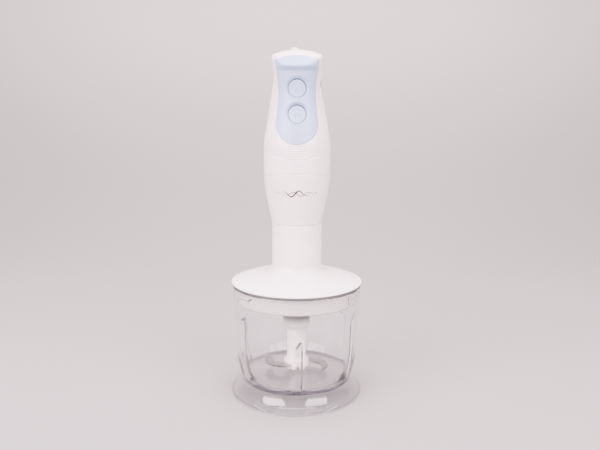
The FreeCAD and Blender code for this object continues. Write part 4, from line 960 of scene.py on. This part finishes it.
def groove_depth(x, z):
    """Depth in mm of the level grooves under the panel."""
    total = np.zeros_like(x)
    end = np.clip((8.2 - np.abs(x)) / 0.5, 0, 1)
    for k, level in enumerate(groove_levels):
        strength = 0.34 if k < 5 else 0.5
        total = np.maximum(total, strength * end * np.clip(1 - ((z - level) / 0.42) ** 2, 0, 1))
    smile = groove_levels[-1] + 6.0 * (x / 26.0) ** 2
    fade = np.clip((np.abs(x) - 9.5) / 3.0, 0, 1) * np.clip((24.0 - np.abs(x)) / 6.0, 0, 1)
    return np.maximum(total, 0.3 * fade * np.clip(1 - ((z - smile) / 0.5) ** 2, 0, 1))


# %% [markdown]
# ### Front and rear covers
#
# Both halves are made by one function. The ring of a half runs along the sloping lower seam, up one side seam,
# over the crown and down the other. Then come the free places inside the ring, in rows like the rows of a net.


# %% Seams
seam_level = 214.5
seam_slope = 0.19


def seam_line(first, last, count, lift):
    """The lower seam between two angles, as angle and height."""
    angle = np.linspace(first, last, count)
    t = np.full(count, seam_level)
    for _ in range(12):
        y = -np.cos(angle) * reach(t)[0]
        t = seam_level - seam_slope * y + lift
    return angle, t


def half_ring(a0, a1):
    """The outline of one half, as angle and t."""
    seam_a, seam_t = seam_line(a0, a1, 96, 0.07)
    side_t = np.arange(215.5, turn_z + 33.2, 1.0)
    up = side_t[side_t > seam_t[-1] + 0.5]
    down = side_t[side_t > seam_t[0] + 0.5][::-1]
    ring_a = np.concatenate([seam_a, np.full(len(up), a1), np.full(len(down), a0)])
    return ring_a, np.concatenate([seam_t, up, down])


# %% Net of free places
def half_points(first, last, spacing=1.15):
    """Evenly spread places on one half of the skin."""
    angles, heights = [], []
    rows = np.arange(209.0, turn_z, spacing * 0.87)
    for k, t in enumerate(rows):
        count = int((last - first) * reach(np.array([t]))[0][0] / spacing)
        angles.append(first + (np.arange(count) + 0.5 * (k % 2)) * (last - first) / count)
        heights.append(np.full(count, t))
    climbs = np.arange(0.5, 34.0, spacing * 0.87)
    for k, up in enumerate(climbs):
        count = max(2, int((last - first) * 25.0 * math.cos(up / 34.0 * math.pi / 2) / spacing))
        angles.append(first + (np.arange(count) + 0.5 * (k % 2)) * (last - first) / count)
        heights.append(np.full(count, turn_z + up))
    return np.concatenate(angles), np.concatenate(heights)


# %% One half of the upper housing
def build_half(name, node, first, last, holes, extra_places, probe):
    """A half between two angles, with holes. With extra places, the grooves are pressed in as well."""
    seam_gap = 0.0013
    a0, a1 = first + seam_gap, last - seam_gap
    loops_at = [half_ring(a0, a1)] + holes
    loops = [to_map(*loop) for loop in loops_at]
    grid_a, grid_t = half_points(a0, a1)
    grid_a = np.concatenate([grid_a, *[p[0] for p in extra_places]])
    grid_t = np.concatenate([grid_t, *[p[1] for p in extra_places]])
    free = to_map(grid_a, grid_t)
    clearance = 0.42 * (np.linalg.norm(free, axis=1) / 27.0)
    keep = within(free, loops[0])
    for loop in loops:
        keep &= line_distance(free, loop) > clearance
    for hole in loops[1:]:
        keep &= ~within(free, hole)
    tris = join_points(loops, free[keep])
    all_a = np.concatenate([loop[0] for loop in loops_at] + [grid_a[keep]])
    all_t = np.concatenate([loop[1] for loop in loops_at] + [grid_t[keep]])
    points = skin(all_a, all_t)
    if extra_places:
        sunk = groove_depth(points[:, 0], points[:, 2])
        points = points + (skin(all_a, all_t, -1.0) - points) * sunk[:, None]
    piece = mesh_piece(name, points, tris)
    face_outwards(piece, probe)
    thicken(piece, 2.6, 0.07)
    return finish_piece(piece, white, node=node, angle=40)


# %% [markdown]
# The front cover has the panel's opening, and finer rows of places along the grooves, or they would come out
# ragged. The rear cover has two round holes for the screws.

# %% Front and rear covers
outline = panel_outline(0.16)
opening = place_of(outline[:, 0], outline[:, 1])
fine = []
for level in groove_levels:
    xs = np.arange(-9.0, 9.01, 0.75)
    for dz in (-0.55, -0.36, -0.18, 0.0, 0.18, 0.36, 0.55):
        fine.append(place_of(xs, np.full(len(xs), level + dz)))
for side in (-1, 1):
    xs = side * np.arange(9.75, 25.0, 0.75)
    for dz in (-0.6, -0.4, -0.2, 0.0, 0.2, 0.4, 0.6):
        fine.append(place_of(xs, groove_levels[-1] + 6.0 * (xs / 26.0) ** 2 + dz))
well_x, well_z, well_floor, well_r = 9.0, 317.4, 9.0, 2.7
around = np.linspace(0, 2 * np.pi, 40, endpoint=False)
well_holes = [place_of(x + well_r * np.cos(around), well_z + well_r * np.sin(around), 1)
              for x in (-well_x, well_x)]
build_half("front_cover", "front_housing", -math.pi / 2, math.pi / 2, [opening], fine, (0, -0.2, 0.23))
build_half("rear_cover", "rear_housing", math.pi / 2, 3 * math.pi / 2, well_holes, [], (0, 0.2, 0.27))

# %% [markdown]
# ### The screw wells
#
# Two screws hold the covers together from behind, sunk deep in round wells. A well is a short tube with a
# floor. It is spun once and copied, and both are laid down along their screws. Their mouths follow the wall.


# %% Screw wells
def lay_well(piece, x_at):
    """Turns an upright spun tube to lie along y. Points marked with height 1 go to the wall's inner half."""
    upright = vertex_array(piece)
    x, z = x_at + upright[:, 0], well_z + upright[:, 1]
    mouth = front_depth(x, z, side=1) - 2.0
    y = np.where(upright[:, 2] > 0.5, mouth, well_floor + upright[:, 2])
    set_vertices(piece, np.stack([x, y, z], 1))
    whole_mesh(piece, faces_out)
    finish_piece(piece, white, body="motor_unit")


tube_line = [(3.3, 1.0), (4.0, 1.0), (4.0, -1.2), (1.5, -1.2), (1.5, 0), (3.3, 0)]
left_well = spin_profile("screw_well_left", tube_line, 48)
right_well = left_well.copy()
right_well.data = left_well.data.copy()
right_well.name = right_well.data.name = "screw_well_right"
bpy.context.scene.collection.objects.link(right_well)
lay_well(left_well, -well_x)
lay_well(right_well, well_x)

# %% [markdown]
# ### The grip panel and its buttons
#
# The panel lies in the front cover's opening and stands a third of a millimetre proud, with a soft edge. Round
# each button it is pressed into a dish. It is a height over the front view, so the same even points and joining
# work with plain x and z as the map.

# %% Panel values and its dishes
proud = 0.35
dish_reach = 10.9
hole_reach = 8.45
hole_rise = 0.45


def circle_line(radius_mm, level, count=72):
    a = np.linspace(0, 2 * np.pi, count, endpoint=False)
    return np.stack([radius_mm * np.cos(a), level + radius_mm * np.sin(a)], 1)


def dish_depth(x, z):
    total = np.zeros_like(x)
    for name, level in button_levels.items():
        away = np.hypot(x, z - level - hole_rise)
        deep = 1.3 + (0.03 if name == "speed" else 0.085) * np.clip(z - level, -7, 9)
        total = np.maximum(total, deep * ease((dish_reach - away) / 2.3))
    return total


# %% [markdown]
# Rows close to the rim carry its soft edge, rings round each button carry the dish, and a net fills the rest.

# %% Places on the panel
rim_line = panel_outline(0.0, 0.6)
loops = [rim_line] + [circle_line(hole_reach, level + hole_rise) for level in button_levels.values()]
free = [panel_outline(-inset, 0.6) for inset in (0.12, 0.3, 0.55, 0.9)]
for level in button_levels.values():
    for ring in (8.52, 8.65, 8.9, 9.2, 9.55, 9.9, 10.25, 10.6, 10.9, 11.2):
        free.append(circle_line(ring, level + hole_rise, 84))
grid = []
for k, z in enumerate(np.arange(belly_z - 20, crown - 6.5, 0.72)):
    xs = np.arange(-21, 21, 0.83) + 0.415 * (k % 2)
    grid.append(np.stack([xs, np.full(len(xs), z)], 1))
grid = np.concatenate(grid)
keep = within(grid, rim_line) & (line_distance(grid, rim_line) > 1.3)
for level in button_levels.values():
    keep &= np.hypot(grid[:, 0], grid[:, 1] - level - hole_rise) > 11.55
free = np.concatenate(free + [grid[keep]])
tris = join_points(loops, free)
flat = np.concatenate(loops + [free])

# %% Shape the panel
rim_round = 0.55
edge_gap = line_distance(flat, rim_line)
lift = proud - rim_round * (1 - np.sqrt(np.clip(1 - (1 - np.clip(edge_gap / rim_round, 0, 1)) ** 2, 0, 1)))
for level in button_levels.values():
    away = np.hypot(flat[:, 0], flat[:, 1] - level - hole_rise)
    lift = lift - 0.25 * np.clip((8.65 - away) / 0.2, 0, 1)
lift = lift - dish_depth(flat[:, 0], flat[:, 1])
plain_depth = front_depth(flat[:, 0], flat[:, 1], 0.0, 1.0)
grown_depth = front_depth(flat[:, 0], flat[:, 1], 1.0, 1.0)
depth_y = plain_depth + (grown_depth - plain_depth) * lift
panel = mesh_piece("grip_shield", np.stack([flat[:, 0], -depth_y, flat[:, 1]], 1), tris)
face_outwards(panel, (0, -0.2, 0.285))
thicken(panel, 1.4, 0.0)
finish_piece(panel, blue, node="grip_panel", angle=50)


# %% [markdown]
# ### Buttons
#
# Two round caps with rolled edges, one raised dot on the upper and two on the lower. The lower cap leans back
# at its top, so that its dish throws a deeper shadow there. Each starts as a disc of rings, bent to the
# handle's own curve.


# %% Buttons
def button(name, node, level, lean, dots):
    """A cap whose outer rings drop away to its side. The caps dish in slightly and carry raised dots."""
    round_steps = 96
    rings = [7.9, 7.89, 7.83, 7.7, 7.5, 7.2, 6.8] + list(np.arange(6.3, 0.4, -0.4))
    drops = [3.2, 0.75, 0.4, 0.18, 0.06, 0.0] + [0.0] * (len(rings) - 6)
    flat_pts = np.concatenate([circle_line(r, 0.0, round_steps) for r in rings] + [np.zeros((1, 2))])
    drop = np.append(np.repeat(drops, round_steps), 0.0)
    tris = []
    for k in range(len(rings) - 1):
        for j in range(round_steps):
            a, b = k * round_steps + j, k * round_steps + (j + 1) % round_steps
            tris += [(a, b, b + round_steps), (a, b + round_steps, a + round_steps)]
    last = (len(rings) - 1) * round_steps
    tris += [(last + j, last + (j + 1) % round_steps, len(flat_pts) - 1) for j in range(round_steps)]
    x, z = flat_pts[:, 0], flat_pts[:, 1]
    raised = np.zeros_like(x)
    for dot_x in dots:
        raised = np.maximum(raised, 0.8 * ease((1.35 - np.hypot(x - dot_x, z)) / 0.75))
    raised = raised - 0.5 * ease((6.9 - np.hypot(x, z)) / 4.0)
    face = front_depth(x, z + level) + (proud - 0.55) - lean * z
    pts3 = np.stack([x, -(face - drop + raised), z + level], 1)
    piece = mesh_piece(name, pts3, tris)
    face_outwards(piece, (0, -0.2, level * MM))
    thicken(piece, 1.2, 0.0)
    return finish_piece(piece, blue, node=node, angle=50)


button("upper_button_cap", "speed_button", button_levels["speed"], 0.05, (0.0,))
button("lower_button_cap", "turbo_button", button_levels["turbo"], 0.125, (-2.2, 2.2))

# %% [markdown]
# ### The lower housing
#
# It is round, so it is spun like the lid: down the inside wall, round the spigot that locks into the neck, and
# up the outside. The seam with the covers above slopes, higher in front than behind. So the spun piece is left
# too tall and cut along that slope, and the two open rings are bridged to close the wall.

# %% Lower housing
climb = np.linspace(0, 54, 46)
outer_line = [np.array((reach(np.array([handle_foot + c]))[0][0], handle_foot + c)) for c in climb]
inner_levels = np.linspace(handle_foot + 53, handle_foot + 2.6, 24)
inner_line = [np.array((reach(np.array([z]))[0][0] - 2.8, z)) for z in inner_levels]
spigot_line = soften([
    tuple(inner_line[-1]), (16.0, 173.5), (17.0, 171.3), (17.0, 155.5), (6.0, 155.5), (6.0, 153.3),
    (19.2, 153.3, 0.6), (19.2, 166.0), (20.9, 166.8), (20.9, 171.2, 0.2), (24.05, 171.1, 0.35),
    tuple(outer_line[1])], 4)[1:-1]
housing = spin_profile("lower_cover", inner_line + spigot_line + outer_line[1:], 240, closed=False)

# %% Cut the housing along the seam
wake(housing)
bpy.ops.object.mode_set(mode="EDIT")
bpy.ops.mesh.select_all(action="SELECT")
slope = Vector((0, seam_slope, 1)).normalized()
bpy.ops.mesh.bisect(plane_co=(0, 0, (seam_level - 0.07) * MM), plane_no=slope, clear_outer=True)
bpy.ops.mesh.select_all(action="DESELECT")
bpy.ops.mesh.select_non_manifold(extend=False, use_wire=False, use_multi_face=False, use_verts=False)
bpy.ops.mesh.bridge_edge_loops()
bpy.ops.object.mode_set(mode="OBJECT")
whole_mesh(housing, faces_out)
soften_edges(housing, 0.1, 60)
finish_piece(housing, white, node="lower_housing", angle=40)

# %% [markdown]
# ### A printed ornament
#
# Handles like this carry a small dark print in front. Here it is an ornament with no meaning: two crossing
# waves that swell and thin like pen strokes, and two dots. It is a flat ribbon laid two hundredths of a
# millimetre above the housing's curve.


# %% Ornament
def stroke(xs, zs, thick, base):
    """A ribbon along a line, as points of the front view and faces that count from base."""
    run = np.gradient(np.stack([xs, zs], 1), axis=0)
    run /= np.linalg.norm(run, axis=1)[:, None]
    side = np.stack([-run[:, 1], run[:, 0]], 1) * thick[:, None] / 2
    line = np.stack([xs, zs], 1)
    flat = np.concatenate([line + side, line - side])
    n = len(xs)
    faces = [(base + k, base + k + 1, base + n + k + 1, base + n + k) for k in range(n - 1)]
    return flat, faces


ornament_points, ornament_faces = [], []
t = np.linspace(0, 1, 90)
swell = np.sin(np.pi * t)
strokes = [
    (-16 + 29 * t, 201.7 + 2.9 * np.sin(t * 2 * np.pi * 2.0) * (0.3 + 0.7 * swell), 0.35 + 1.15 * swell ** 2),
    (-13 + 29 * t, 201.5 - 2.0 * np.sin(t * 2 * np.pi * 2.0 + 0.5) * (0.4 + 0.6 * swell), 0.3 + 0.5 * swell),
]

# %% Lay the ornament on the housing
for xs, zs, thick in strokes:
    flat, faces = stroke(xs, zs, thick, sum(len(p) for p in ornament_points))
    ornament_points.append(flat)
    ornament_faces += faces
for dot_x, dot_r in ((17.6, 0.6), (-17.8, 0.5)):
    a = np.linspace(0, 2 * np.pi, 20, endpoint=False)
    base = sum(len(p) for p in ornament_points)
    ornament_points.append(np.stack([dot_x + dot_r * np.cos(a), 202.4 + dot_r * np.sin(a)], 1))
    ornament_faces.append(tuple(base + k for k in range(20)))
flat = np.concatenate(ornament_points)
depth_y = front_depth(flat[:, 0], flat[:, 1]) + 0.02
mesh = bpy.data.meshes.new("printed_ornament")
mesh.from_pydata([(x * MM, -y * MM, z * MM) for (x, z), y in zip(flat, depth_y)], [], ornament_faces)
ornament = bpy.data.objects.new("printed_ornament", mesh)
bpy.context.scene.collection.objects.link(ornament)
face_outwards(ornament, (0, -0.2, 0.2))
thicken(ornament, 0.03, 0.0)
finish_piece(ornament, ink, body="motor_unit", angle=60)
